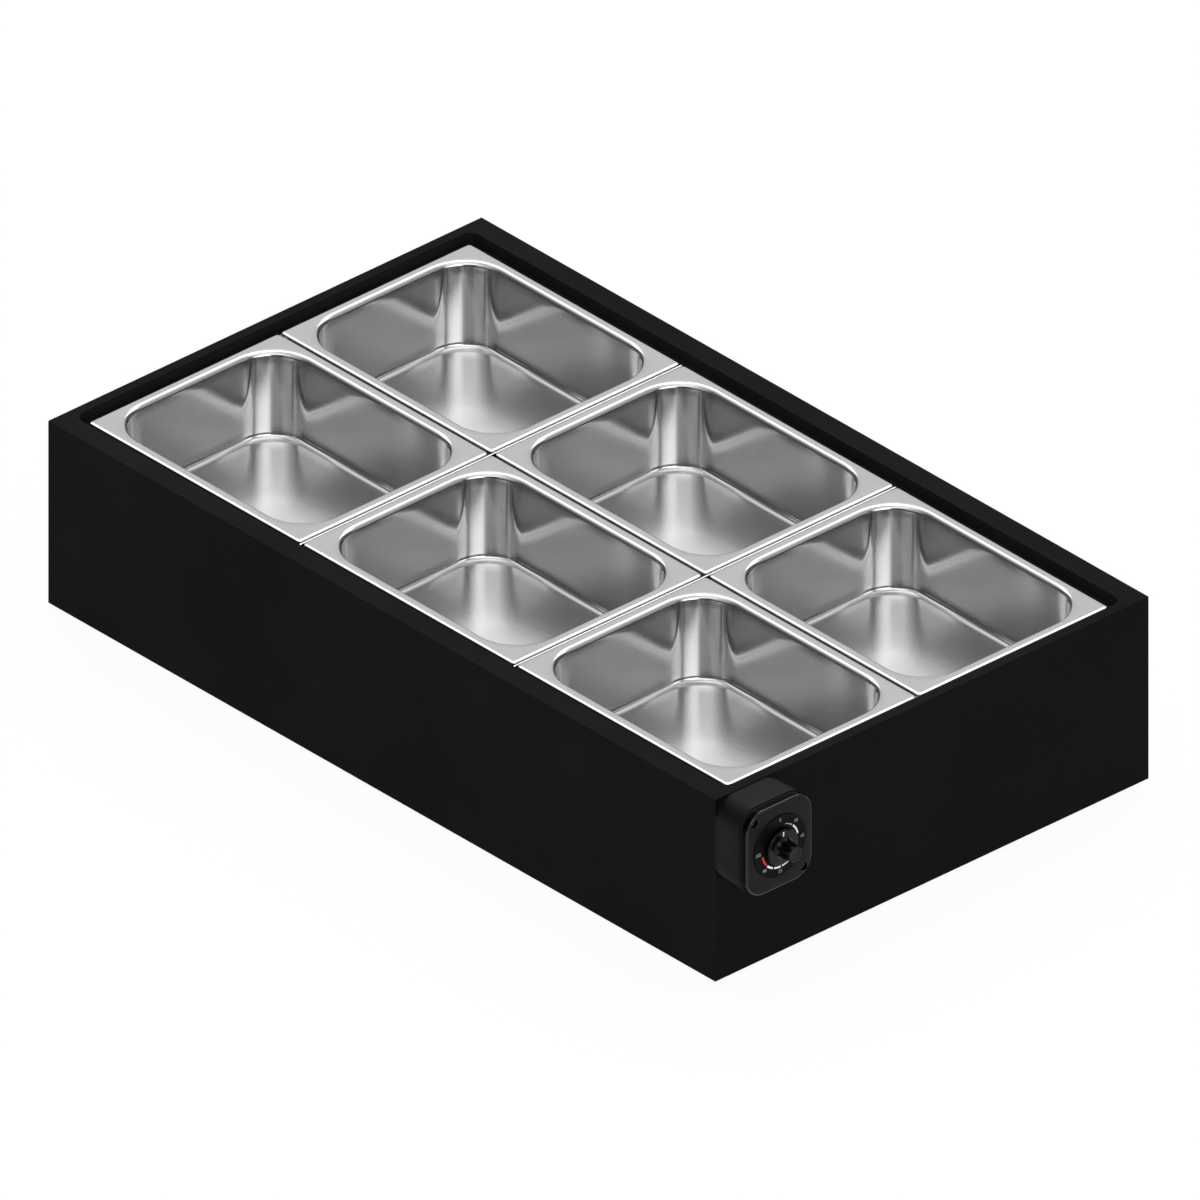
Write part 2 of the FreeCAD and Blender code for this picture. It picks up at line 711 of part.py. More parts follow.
# Thermal cut-out: a disc on a plate against the bath's floor, with two blades for the leads
cutout_low = cutout_plate_low - cutout_height
blade_z = cutout_low + blade_rise
blade_end = cutout_x + cutout_radius + tab_length
blade_levels = (blade_z - tab_thick / 2, blade_z + tab_thick / 2)
plate = block(cutout_plate_length, cutout_plate_width, cutout_plate_corner, cutout_plate_low, well_under,
              (cutout_x, 0))
plate = without(plate, [hole(m3_thread, place, cutout_plate_low - 1, well_under + 1)
                        for place in cutout_stud_places])
disc = rod(cutout_radius, Vector(cutout_x, 0, cutout_low), Vector(cutout_x, 0, cutout_plate_low))
blade_ranges = [(y - blade_width / 2, y + blade_width / 2) for y in (-blade_side, blade_side)]
blades = [slab((cutout_x, blade_end), y_range, blade_levels) for y_range in blade_ranges]
nodes["thermal_cutout"] = joined(plate, disc, *blades)

# Sensor bulb in two saddle clips spotted to the bath's floor
bulb_z = well_under - fit_gap - bulb_radius
bulb_start = Vector(bulb_right - bulb_length, -bulb_side, bulb_z)
bulb_end = Vector(bulb_right, -bulb_side, bulb_z)
bulb = rod(bulb_radius, bulb_start, bulb_end)
nodes["sensor_bulb"] = eased(bulb, bulb_nose, lambda edge: edge.BoundBox.XLength < 0.01)


def bulb_clip(x):
    inner = bulb_radius + fit_gap
    outer = inner + clip_sheet
    wide = (x - clip_width / 2, x + clip_width / 2)
    ear = outer + clip_ear
    strap = slab(wide, (-bulb_side - outer, -bulb_side + outer), (bulb_z - outer, well_under))
    ears = slab(wide, (-bulb_side - ear, -bulb_side + ear), (well_under - clip_sheet, well_under))
    way = slab(wide, (-bulb_side - inner, -bulb_side + inner), (bulb_z - inner, well_under))
    return joined(strap, ears).cut(way)


nodes["bulb_clips"] = Part.makeCompound(
    [bulb_clip(x) for x in (bulb_right - bulb_length + clip_inset, bulb_right - clip_inset)])

# Reflector tray and insulation
slab_centre = (-element_tail, 0)
nodes["insulation_bottom"] = block(slab_length, slab_width, slab_corner, base_top, slab_top, slab_centre)
tray = block(slab_length, slab_width, slab_corner, slab_top, slab_top + reflector_lip, slab_centre)
tray_hollow = block(slab_length - 2 * reflector_sheet, slab_width - 2 * reflector_sheet,
                    slab_corner - reflector_sheet, reflector_top, slab_top + reflector_lip, slab_centre)
nodes["heat_reflector"] = tray.cut(tray_hollow)

bath_side = well_width / 2 + well_sheet
bath_end = well_length / 2 + well_sheet
side_half = bath_end - well_corner - well_sheet
end_half = bath_side - well_corner - well_sheet


# Blanket against a wall of the bath, with its outer edges rounded: made at the +X wall, then turned
def blanket(reach, thick, side_range, turn):
    pad = slab((reach, reach + thick), side_range, (blanket_low, blanket_high))
    pad = eased(pad, blanket_round, lambda edge: edge.BoundBox.XMin > reach + thick - 0.001)
    pad.rotate(Vector(0, 0, 0), up, turn)
    return pad


nodes["insulation_right"] = blanket(bath_end, end_blanket, (lead_room - end_half, end_half), 0)
nodes["insulation_rear"] = blanket(bath_side, side_blanket, (-side_half, side_half), 90)
nodes["insulation_left"] = blanket(bath_end, end_blanket, (-end_half, end_half), 180)
nodes["insulation_front"] = blanket(bath_side, side_blanket, (-side_half, side_half), 270)

# Control box body: an open tray with bosses for the cover's screws
cover_screw_places = ((-cover_screw_across, cover_screw_up), (cover_screw_across, -cover_screw_up))
inner_box = (box_width - 2 * box_wall, box_height - 2 * box_wall, box_corner - box_wall)
body = block(box_width, box_height, box_corner, 0, box_depth)
body = body.cut(block(*inner_box, box_wall, box_depth))
bosses = [rod(boss_radius, Vector(x, y, box_wall), Vector(x, y, box_depth)) for x, y in cover_screw_places]
boss_bores = [rod(m3_thread / 2 + thread_clearance, Vector(x, y, box_depth / 2), Vector(x, y, box_depth))
              for x, y in cover_screw_places]
body = without(joined(body, *bosses), boss_bores + end_holes)
nodes["control_box_body"] = on_end(body)

seal_outer = (box_width - 2 * seal_inset, box_height - 2 * seal_inset, box_corner - seal_inset)
nodes["cover_seal"] = on_end(ring(seal_outer, inner_box, box_depth, cover_low))

# Cover: a shallow cap, solid round the screws, with the thermostat behind its face
head_seat = cover_face - m4_head_height - head_sink
cover = block(box_width, box_height, box_corner, cover_low, cover_face)
cover = eased(cover, cover_round, level_at(cover_face))
cover = cover.cut(block(*inner_box, cover_low, cover_face - box_wall))
posts = [rod(post_radius, Vector(x, y, cover_low), Vector(x, y, head_seat))
         for x, y in cover_screw_places]
cover = joined(cover, *posts)
cover_cuts = [rod(m4_head / 2 + hole_clearance, Vector(x, y, head_seat), Vector(x, y, cover_face))
              for x, y in cover_screw_places]
cover_cuts += [rod(m3_thread / 2 + hole_clearance, Vector(x, y, cover_low), Vector(x, y, cover_face))
               for x, y in cover_screw_places]
inner_face = cover_face - box_wall
thermostat_screw_places = ((-thermostat_screw, 0), (thermostat_screw, 0))
sink_low = cover_face - sink_depth - hole_clearance
for x, y in thermostat_screw_places:
    cover_cuts.append(rod(m4_thread / 2 + hole_clearance, Vector(x, y, inner_face), Vector(x, y, cover_face)))
    cover_cuts.append(Part.makeCone(m4_thread / 2 + hole_clearance, m4_head / 2 + hole_clearance,
                                    sink_depth + hole_clearance, Vector(x, y, sink_low)))
shaft_hole = rod(shaft_radius + shaft_way, Vector(0, 0, inner_face), Vector(0, 0, dial_face))
nodes["control_box_cover"] = on_end(without(cover, cover_cuts + [shaft_hole]))
cover_screw_length = head_seat - 2 * box_depth / 3
nodes["cover_screws"] = Part.makeCompound(
    [on_end(screw(m3_thread, m4_head, m4_head_height, cover_screw_length, Vector(x, y, head_seat), up))
     for x, y in cover_screw_places])

nodes["dial_plate"] = on_end(rod(dial_radius, up * cover_face, up * dial_face).cut(shaft_hole))

# Screws, nuts and grommet that join the box to the casing's end
box_screw_length = box_wall + casing_sheet + m4_nut + thread_past
nodes["box_screws"] = Part.makeCompound(
    [on_end(screw(m4_thread, m4_head, m4_head_height, box_screw_length, Vector(x, y, box_wall), up))
     for x, y in box_screw_places])
nodes["box_nuts"] = Part.makeCompound(
    [on_end(nut(m4_thread, m4_across, m4_nut, Vector(x, y, -casing_sheet), -up))
     for x, y in box_screw_places])
grommet_places = [Vector(grommet_across, grommet_up, z)
                  for z in (-casing_sheet - grommet_lip, -casing_sheet, box_wall, box_wall + grommet_lip)]
grommet = joined(rod(grommet_radius, grommet_places[0], grommet_places[3]),
                 rod(grommet_radius + grommet_wall, grommet_places[0], grommet_places[1]),
                 rod(grommet_radius + grommet_wall, grommet_places[2], grommet_places[3]))
grommet = grommet.cut(rod(grommet_radius - grommet_wall, grommet_places[0], grommet_places[3]))
nodes["wire_grommet"] = on_end(grommet)

# Thermostat behind the cover's face, with a blade on each side and its shaft through the dial
back_face = inner_face - thermostat_depth
thermostat = block(thermostat_width, thermostat_height, thermostat_corner, back_face, inner_face)
tapping_end = inner_face - thermostat_tapping
thermostat_cuts = [rod(m4_thread / 2 + thread_clearance, Vector(x, y, tapping_end), Vector(x, y, inner_face))
                   for x, y in thermostat_screw_places]
thermostat_cuts.append(rod(shaft_radius + turning_gap, up * (inner_face - shaft_seat), up * inner_face))
tab_reach = thermostat_width / 2 + tab_length
tabs = slab((-tab_reach, tab_reach), (tab_up - tab_width / 2, tab_up + tab_width / 2),
            (tab_out - tab_thick / 2, tab_out + tab_thick / 2))
nodes["thermostat_body"] = on_end(without(joined(thermostat, tabs), thermostat_cuts))
thermostat_screws = []
for x, y in thermostat_screw_places:
    sunk_head = Part.makeCone(m4_thread / 2, m4_head / 2, sink_depth, Vector(x, y, cover_face - sink_depth))
    shank = rod(m4_thread / 2, Vector(x, y, inner_face - thermostat_screw_depth), Vector(x, y, cover_face))
    thermostat_screws.append(on_end(joined(sunk_head, shank)))
nodes["thermostat_screws"] = Part.makeCompound(thermostat_screws)

shaft_start = inner_face - shaft_seat + fit_gap
shaft_end = knob_face - knob_top - fit_gap
shaft = rod(shaft_radius, up * shaft_start, up * shaft_end)
flat = slab((-shaft_radius, shaft_radius), (-shaft_radius, -shaft_flat), (knob_low, shaft_end))
nodes["thermostat_shaft"] = on_end(shaft.cut(flat))

# Knob: a round skirt with an index groove, and a fluted grip on the shaft's flat
skirt_face = knob_low + knob_skirt
skirt = eased(rod(knob_skirt_radius, up * knob_low, up * skirt_face), knob_edge, level_at(skirt_face))
grip = Part.makeCone(knob_grip_base, knob_grip_end, knob_face - skirt_face, up * skirt_face)
grip = eased(grip, knob_nose, level_at(knob_face))
knob = eased(joined(skirt, grip), knob_root, level_within(skirt_face, 2 * knob_grip_base, 2 * knob_grip_base))
flute_reach = knob_grip_base + flute_radius - flute_depth
knob_cuts = []
for step in range(flute_count):
    angle = 2 * math.pi * (step + 0.5) / flute_count
    foot_point = Vector(flute_reach * math.cos(angle), flute_reach * math.sin(angle), skirt_face + knob_root)
    knob_cuts.append(rod(flute_radius, foot_point, foot_point + up * knob_height))
index_start = knob_skirt_radius - index_length
knob_cuts.append(slab((-index_width / 2, index_width / 2), (index_start, knob_skirt_radius),
                      (skirt_face - index_depth, skirt_face)))
bore = rod(shaft_radius + turning_gap, up * knob_low, up * (knob_face - knob_top))
flat_side = slab((-2 * shaft_radius, 2 * shaft_radius), (-2 * shaft_radius, -shaft_flat - turning_gap),
                 (knob_low, knob_face))
nodes["knob"] = on_end(without(knob, knob_cuts + [bore.cut(flat_side)]))

# Cable gland in the rear panel, its nut inside, and the terminal block and earth stud on the base
back = Vector(0, 1, 0)
inner_panel = gland_place - back * casing_sheet
collar = placed(hex_bar(gland_across, gland_collar), gland_place, back)
thread = rod(gland_radius, inner_panel - back * gland_inside, gland_place + back)
cap_start = gland_place + back * gland_collar
cap = Part.makeCone(gland_cap_radius, gland_cap_radius - gland_cap_taper, gland_cap, cap_start, back)
gland = joined(collar, thread, cap)
gland_line = (inner_panel - back * gland_inside, gland_place + back * (gland_collar + gland_cap))
nodes["cable_gland"] = gland.cut(rod(gland_bore, *gland_line))
nodes["gland_nut"] = nut(2 * gland_radius, gland_nut_across, gland_nut_height, inner_panel, -back)

carrier = block(block_width, block_length, block_corner, base_top, base_top + block_height, block_place)
block_holes = [hole(m3_thread, place, base_top, base_top + block_height) for place in block_screw_places]
nodes["terminal_block"] = without(carrier, block_holes)
block_screw_length = block_height + base_sheet + thread_past
nodes["block_screws"] = Part.makeCompound(
    [screw(m3_thread, m3_across, m3_nut, block_screw_length, Vector(x, y, base_top + block_height), up)
     for x, y in block_screw_places])

lug_low = base_top + m5_nut
lug_top = lug_low + lug_sheet
earth_x, earth_y = earth_place
earth_z = lug_low + lug_barrel_rise
lug_start = earth_y + lug_strap_start
lug_end = earth_y + lug_reach
lug_eye = rod(lug_radius, Vector(earth_x, earth_y, lug_low), Vector(earth_x, earth_y, lug_top))
lug_barrel = rod(lug_barrel_radius, Vector(earth_x, lug_start, earth_z), Vector(earth_x, lug_end, earth_z))
lug_strap = slab((earth_x - lug_strap_width / 2, earth_x + lug_strap_width / 2), (lug_start, lug_end),
                 (lug_low, lug_top))
earth_nut_top = lug_top + m5_nut
lug_bore = hole(m5_thread, earth_place, lug_low, earth_nut_top)
earth_lug = joined(lug_eye, lug_strap, lug_barrel).cut(lug_bore)
stud_top = earth_nut_top + thread_past
earth_stud = rod(m5_thread / 2, Vector(earth_x, earth_y, base_under), Vector(earth_x, earth_y, stud_top))
earth_nuts = [nut(m5_thread, m5_across, m5_nut, Vector(earth_x, earth_y, z), up) for z in (base_top, lug_top)]
nodes["earth_stud"] = Part.makeCompound([earth_stud] + earth_nuts)

# Capillary from the thermostat to the bulb, and the leads, as tubes along hand-set routes
capillary_out = -14.5
capillary_up = grommet_up + 5.5
capillary_level = 34.0
lead_out = -9.0
lead_up = grommet_up - 2.5
lead_side = 4.2
return_bow = 26.0        # how far the return lead swings past the terminals
heater_rise = 18.0       # from the grommet up to where the heater's lead turns down
heater_tuck = 1.0        # how much less it stands off than its bend
wire_x = half_length + lead_out
capillary_x = half_length + capillary_out
capillary_points = [end_point(grommet_across, -thermostat_height / 2, capillary_level),
                    end_point(grommet_across, capillary_up, capillary_level),
                    end_point(grommet_across, capillary_up, capillary_out),
                    Vector(capillary_x, box_y + grommet_across, bulb_z),
                    Vector(capillary_x, -bulb_side, bulb_z), bulb_end]
nodes["thermostat_capillary"] = tube(capillary_points, capillary_radius, capillary_bend)

live_across = grommet_across - lead_side
live_turn = -tab_reach - lead_bend
supply_z = base_top + block_height / 2
supply_points = [end_point(-tab_reach, tab_up, tab_out), end_point(live_turn, tab_up, tab_out),
                 end_point(live_turn, lead_up, tab_out), end_point(live_across, lead_up, tab_out),
                 end_point(live_across, lead_up, lead_out), Vector(wire_x, box_y + live_across, supply_z),
                 Vector(wire_x, block_place[1], supply_z),
                 Vector(block_place[0] + block_width / 2, block_place[1], supply_z)]
nodes["lead_live"] = tube(supply_points, lead_radius, lead_tight_bend)

heater_across = grommet_across + lead_side
heater_turn = tab_reach + lead_bend - heater_tuck
heater_dip = grommet_up + heater_rise
heater_points = [end_point(tab_reach, tab_up, tab_out), end_point(heater_turn, tab_up, tab_out),
                 end_point(heater_turn, heater_dip, tab_out), end_point(heater_across, lead_up, tab_out),
                 end_point(heater_across, lead_up, lead_out), Vector(wire_x, box_y + heater_across, blade_z),
                 Vector(wire_x, blade_side, blade_z), Vector(blade_end, blade_side, blade_z)]
turn_x = pin_end + return_bow
return_points = [Vector(blade_end, -blade_side, blade_z), Vector(turn_x, -blade_side, blade_z),
                 Vector(turn_x, -3 * leg, element_z), Vector(pin_end, -3 * leg, element_z)]
nodes["lead_heater"] = Part.makeCompound([tube(heater_points, lead_radius, lead_tight_bend),
                                          tube(return_points, lead_radius, lead_bend)])

neutral_y = block_place[1] - block_length / 2
neutral_points = [Vector(block_place[0], neutral_y, supply_z), Vector(block_place[0], 3 * leg, supply_z),
                  Vector(block_place[0], 3 * leg, element_z), Vector(pin_end, 3 * leg, element_z)]
nodes["lead_neutral"] = tube(neutral_points, lead_radius, lead_bend)

earth_start_x = block_place[0] + block_width / 4
earth_middle_y = (neutral_y + lug_end) / 2
earth_points = [Vector(earth_start_x, neutral_y, earth_z), Vector(earth_start_x, earth_middle_y, earth_z),
                Vector(earth_x, earth_middle_y, earth_z), Vector(earth_x, lug_end, earth_z)]
nodes["lead_earth"] = Part.makeCompound([tube(earth_points, lead_radius, capillary_bend), earth_lug])

# The origin goes to the middle of the footprint: casing's left end to knob, casing's front to gland
shift = Vector(-knob_face / 2, (half_width - gland_end) / 2, 0)

os.makedirs("parts", exist_ok=True)
for name, shape in nodes.items():
    moved = shape.copy()
    moved.translate(shift)
    moved.exportStep("parts/" + name + ".step")
    state = "solids" if moved.isValid() else "INVALID"
    print(name, len(moved.Solids), state, round(moved.Volume / 1000, 2), "cm3")
print(len(nodes), "nodes, moved by", round(shift.x, 2), round(shift.y, 2))
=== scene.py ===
import json
import math

import bmesh
import bpy
import numpy as np
from mathutils import Matrix, Vector

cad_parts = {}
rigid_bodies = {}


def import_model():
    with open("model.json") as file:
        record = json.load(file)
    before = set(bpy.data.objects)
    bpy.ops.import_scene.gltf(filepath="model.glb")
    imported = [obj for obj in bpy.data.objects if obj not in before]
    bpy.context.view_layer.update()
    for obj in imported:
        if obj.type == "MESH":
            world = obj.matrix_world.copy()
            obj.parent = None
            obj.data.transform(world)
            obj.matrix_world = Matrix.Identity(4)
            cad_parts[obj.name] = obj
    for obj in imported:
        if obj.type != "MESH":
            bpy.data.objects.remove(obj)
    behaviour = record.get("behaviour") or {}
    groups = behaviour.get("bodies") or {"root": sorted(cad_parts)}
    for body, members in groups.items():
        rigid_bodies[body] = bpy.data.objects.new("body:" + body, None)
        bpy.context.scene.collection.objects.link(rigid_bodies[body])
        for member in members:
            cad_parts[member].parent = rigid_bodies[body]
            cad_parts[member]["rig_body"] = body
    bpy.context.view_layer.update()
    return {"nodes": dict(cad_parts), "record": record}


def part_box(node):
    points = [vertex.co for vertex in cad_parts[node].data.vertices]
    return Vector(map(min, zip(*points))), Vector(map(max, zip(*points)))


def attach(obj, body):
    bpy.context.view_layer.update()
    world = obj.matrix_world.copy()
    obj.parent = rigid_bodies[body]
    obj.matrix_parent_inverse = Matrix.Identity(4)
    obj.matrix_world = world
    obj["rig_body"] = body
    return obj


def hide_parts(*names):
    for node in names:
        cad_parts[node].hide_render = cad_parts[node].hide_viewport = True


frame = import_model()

# Electric buffet warmer. Metres, +Z up, +X towards the end with the control box, -Y the long front.
cadNodes = frame["nodes"]
slotOfNode = {part["node"]: part["material_slot"] for part in frame["record"]["subparts"]}
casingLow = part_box("casing_left_end")[0]
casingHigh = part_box("casing_right_end")[1]
middle = Vector(((casingLow.x + casingHigh.x) / 2, (casingLow.y + casingHigh.y) / 2, 0))
# Edges that turn by more than these degrees stay sharp
sharpFrom = {"most": 35, "cut": 30, "knob": 40}
print("frame loaded:", len(cadNodes), "nodes")


# Meshes from grids of points

# Distance from the start of a line of points to each of them
def distances(line):
    return np.concatenate([[0], np.cumsum(np.linalg.norm(np.diff(line, axis=0), axis=1))])


# The four corners of every cell of a grid, going round the cell
def cellCorners(grid):
    return np.stack([grid[:-1, :-1], grid[:-1, 1:], grid[1:, 1:], grid[1:, :-1]], axis=2)


# Points of a grid become a mesh of quads. The last column joins the first one, and the rim of the first
# or last row may be filled. The uv map holds the distance round and along in metres. Other values may be
# given for each point, as attributes that a material reads.
def gridPiece(name, points, capFirst=False, capLast=False, smoothAngle=sharpFrom["most"], values=None):
    rows, columns = points.shape[:2]
    index = np.arange(rows * columns).reshape(rows, columns)
    faces = cellCorners(np.concatenate([index, index[:, :1]], axis=1)).reshape(-1, 4).tolist()
    if capFirst:
        faces.append(index[0][::-1].tolist())
    if capLast:
        faces.append(index[-1].tolist())
    mesh = bpy.data.meshes.new(name)
    mesh.from_pydata(points.reshape(-1, 3).tolist(), [], faces)
    ring = points[rows // 2]
    around = distances(np.concatenate([ring, ring[:1]]))
    along = distances(points[:, 0])
    loops = cellCorners(np.stack(np.meshgrid(around, along), axis=-1)).reshape(-1, 2)
    uv = np.zeros((len(mesh.loops), 2), dtype=np.float32)
    uv[:len(loops)] = loops
    mesh.uv_layers.new(name="sheet").data.foreach_set("uv", uv.ravel())
    for key, numbers in (values or {}).items():
        layer = mesh.attributes.new(key, "FLOAT", "POINT")
        layer.data.foreach_set("value", np.broadcast_to(numbers, (rows, columns)).astype(np.float32).ravel())
    return finishedPiece(name, mesh, smoothAngle)


def smoothed(mesh, smoothAngle):
    mesh.polygons.foreach_set("use_smooth", [True] * len(mesh.polygons))
    mesh.set_sharp_from_angle(angle=math.radians(smoothAngle))


def finishedPiece(name, mesh, smoothAngle=sharpFrom["most"]):
    mesh.validate()
    smoothed(mesh, smoothAngle)
    piece = bpy.data.objects.new(name, mesh)
    bpy.context.scene.collection.objects.link(piece)
    return piece


# Puts what the modifiers make in the place of the mesh
def baked(piece, smoothAngle=sharpFrom["most"]):
    graph = bpy.context.evaluated_depsgraph_get()
    mesh = bpy.data.meshes.new_from_object(piece.evaluated_get(graph))
    piece.modifiers.clear()
    piece.data = mesh
    smoothed(mesh, smoothAngle)
    return piece


# Gives an open sheet its thickness, on the side that its faces turn away from
def thickened(piece, thickness):
    wall = piece.modifiers.new("wall", "SOLIDIFY")
    wall.thickness = thickness
    wall.offset = -1
    wall.use_even_offset = True
    return baked(piece)


# Cuts one piece out of another and removes it
def cutAway(piece, cutter):
    cut = piece.modifiers.new("cut", "BOOLEAN")
    cut.operation = "DIFFERENCE"
    cut.solver = "EXACT"
    cut.object = cutter
    baked(piece, sharpFrom["cut"])
    bpy.data.objects.remove(cutter)


# Makes one piece of several
def merged(name, pieces, smoothAngle=sharpFrom["most"]):
    shape = bmesh.new()
    for piece in pieces:
        shape.from_mesh(piece.data)
        bpy.data.objects.remove(piece)
    mesh = bpy.data.meshes.new(name)
    shape.to_mesh(mesh)
    shape.free()
    return finishedPiece(name, mesh, smoothAngle)


# A vector of each point or face of a mesh, as rows
def vectorsOf(items, key):
    numbers = np.zeros(len(items) * 3)
    items.foreach_get(key, numbers)
    return numbers.reshape(-1, 3)


# Round a rectangle with round corners: which corner a point belongs to, from -1 to 1 each way, and the
# way it faces. A point is then corner * (half size - radius) + way * radius.
def roundTrip(cornerSteps, longSteps, shortSteps):
    corners, ways = [], []
    signs = np.array([(1, 1), (-1, 1), (-1, -1), (1, -1)], dtype=float)
    for quarter in range(4):
        angle = math.pi / 2 * (quarter + np.linspace(0, 1, cornerSteps + 1))
        corners.append(np.broadcast_to(signs[quarter], (len(angle), 2)))
        ways.append(np.stack([np.cos(angle), np.sin(angle)], axis=1))
        steps = longSteps if quarter % 2 == 0 else shortSteps
        share = np.linspace(0, 1, steps + 1)[1:-1, None]
        corners.append(signs[quarter] * (1 - share) + signs[(quarter + 1) % 4] * share)
        ways.append(np.broadcast_to(ways[-1][-1], (len(share), 2)))
    return np.concatenate(corners), np.concatenate(ways)


# Ways that a shape made upwards can stand: up, out of the casing's right end, and out of its rear
stands = {"up": ((1, 0, 0), (0, 1, 0), (0, 0, 1)),
          "end": ((0, 1, 0), (0, 0, 1), (1, 0, 0)),
          "rear": ((-1, 0, 0), (0, 0, 1), (0, 1, 0))}
# Both open ends of a shape filled
solid = {"capFirst": True, "capLast": True}


def stood(points, centre, stand):
    return points @ np.array(stands[stand], dtype=float) + np.array(centre, dtype=float)


# Carries a profile round such a rectangle. Each row of the profile is an inset from the outer edge, a
# height and a corner radius.
def roundTray(name, centre, size, profile, steps=(14, 14, 12), stand="up", **options):
    corner, way = roundTrip(*steps)
    inset, height, radius = np.array(profile, dtype=float).T
    half = np.array(size)[None, :] / 2 - inset[:, None] - radius[:, None]
    flat = half[:, None, :] * corner[None] + radius[:, None, None] * way[None]
    z = np.broadcast_to(height[:, None, None], flat.shape[:2] + (1,))
    return gridPiece(name, stood(np.concatenate([flat, z], axis=2), centre, stand), **options)


# Turns a profile of radius and height round an axis. A shape function may change the radius by height
# and angle, as flutes, ribs and hexagons do.
def turned(name, centre, profile, steps, shape=None, stand="end", **options):
    angle = np.linspace(0, 2 * math.pi, steps, endpoint=False)
    radius, height = np.array(profile, dtype=float).T
    radius = np.broadcast_to(radius[:, None], (len(radius), steps))
    if shape:
        radius = shape(radius, height[:, None], angle[None])
    z = np.broadcast_to(height[:, None], radius.shape)
    points = np.stack([radius * np.cos(angle), radius * np.sin(angle), z], axis=-1)
    return gridPiece(name, stood(points, centre, stand), **options)


# Points of an arc in a profile, by centre, radius and angles in degrees
def bend(centre, radius, first, last, steps):
    angle = np.radians(np.linspace(first, last, steps + 1))
    return np.stack([centre[0] + radius * np.cos(angle), centre[1] + radius * np.sin(angle)], axis=1)


def straight(start, end, steps):
    share = np.linspace(0, 1, steps + 1)[:, None]
    return np.array(start)[None] * (1 - share) + np.array(end)[None] * share


# Materials

# Gives a node's sockets a number, a vector or a colour, or links them to another node's output
def setSockets(tree, node, sockets):
    for key, item in sockets.items():
        if isinstance(item, bpy.types.NodeSocket):
            tree.links.new(item, node.inputs[key])
        else:
            node.inputs[key].default_value = item


def addNode(tree, kind, sockets=None, **settings):
    made = tree.nodes.new(kind)
    for key, value in settings.items():
        setattr(made, key, value)
    setSockets(tree, made, sockets or {})
    return made


# Starts a material and returns it with its tree and shader
def newMaterial(name, colour, metallic, roughness, specular=0.5):
    material = bpy.data.materials.new(name)
    material.use_nodes = True
    tree = material.node_tree
    shader = tree.nodes["Principled BSDF"]
    setSockets(tree, shader, {"Base Color": (*colour, 1), "Metallic": metallic, "Roughness": roughness,
                              "Specular IOR Level": specular})
    return material, tree, shader


def combined(tree, kind, first, second):
    return addNode(tree, "ShaderNodeMath", {0: first, 1: second}, operation=kind).outputs[0]


# Noise on the object's own coordinates or its uv map, stretched by a scale for each axis
def noiseOn(tree, scale, detail, coordinate="Object", stretch=(1, 1, 1)):
    place = addNode(tree, "ShaderNodeTexCoord").outputs[coordinate]
    mapping = addNode(tree, "ShaderNodeMapping", {"Vector": place, "Scale": stretch})
    noise = addNode(tree, "ShaderNodeTexNoise",
                    {"Vector": mapping.outputs["Vector"], "Scale": scale, "Detail": detail})
    return noise.outputs["Fac"]


# Noise stays mostly between these values, so they stand for its whole range
noiseLow, noiseHigh = 0.3, 0.7


# Spreads a value that goes from fromLow to fromHigh over the range from low to high
def toRange(tree, value, low, high, fromLow=noiseLow, fromHigh=noiseHigh, kind="LINEAR"):
    limits = {"From Min": fromLow, "From Max": fromHigh, "To Min": low, "To Max": high}
    spread = addNode(tree, "ShaderNodeMapRange", {"Value": value, **limits}, interpolation_type=kind)
    return spread.outputs["Result"]


# Colour by noise, between a darker and a lighter share of it
def tinted(tree, noise, colour, dark, light):
    ramp = addNode(tree, "ShaderNodeValToRGB", {"Fac": noise})
    for element, place, share in zip(ramp.color_ramp.elements, (noiseLow, noiseHigh), (dark, light)):
        element.position = place
        element.color = (*[min(1, channel * share) for channel in colour], 1)
    return ramp.outputs["Color"]


# Scales a colour by its height on the object: two heights in metres, and the share at each
def byHeight(tree, colour, low, high, lowShare, highShare):
    place = addNode(tree, "ShaderNodeTexCoord").outputs["Object"]
    height = addNode(tree, "ShaderNodeSeparateXYZ", {0: place}).outputs["Z"]
    share = toRange(tree, height, lowShare, highShare, low, high)
    scaled = addNode(tree, "ShaderNodeVectorMath", {0: colour, "Scale": share}, operation="SCALE")
    return scaled.outputs["Vector"]


# Clouds a material's colour by its look, and returns the noise. The heights are those of byHeight.
def clouded(tree, shader, colour, look, heights=None):
    noise = noiseOn(tree, look["cloudScale"], look["cloudDetail"], stretch=look.get("stretch", (1, 1, 1)))
    tint = tinted(tree, noise, colour, look["dark"], look["light"])
    setSockets(tree, shader, {"Base Color": byHeight(tree, tint, *heights) if heights else tint})
    return noise


def bumped(tree, shader, value, strength, distance, before=None):
    bump = addNode(tree, "ShaderNodeBump", {"Height": value, "Strength": strength, "Distance": distance})
    if before:
        setSockets(tree, bump, {"Normal": before})
    setSockets(tree, shader, {"Normal": bump.outputs["Normal"]})
    return bump.outputs["Normal"]


# Bare metal: a faintly clouded colour, and a fine grain in its gloss and its surface, which may run along
# one way
sheetLook = {"cloudScale": 14, "cloudDetail": 4, "dark": 0.94, "light": 1.04, "grainDetail": 2,
             "grainHeight": 0.00002}


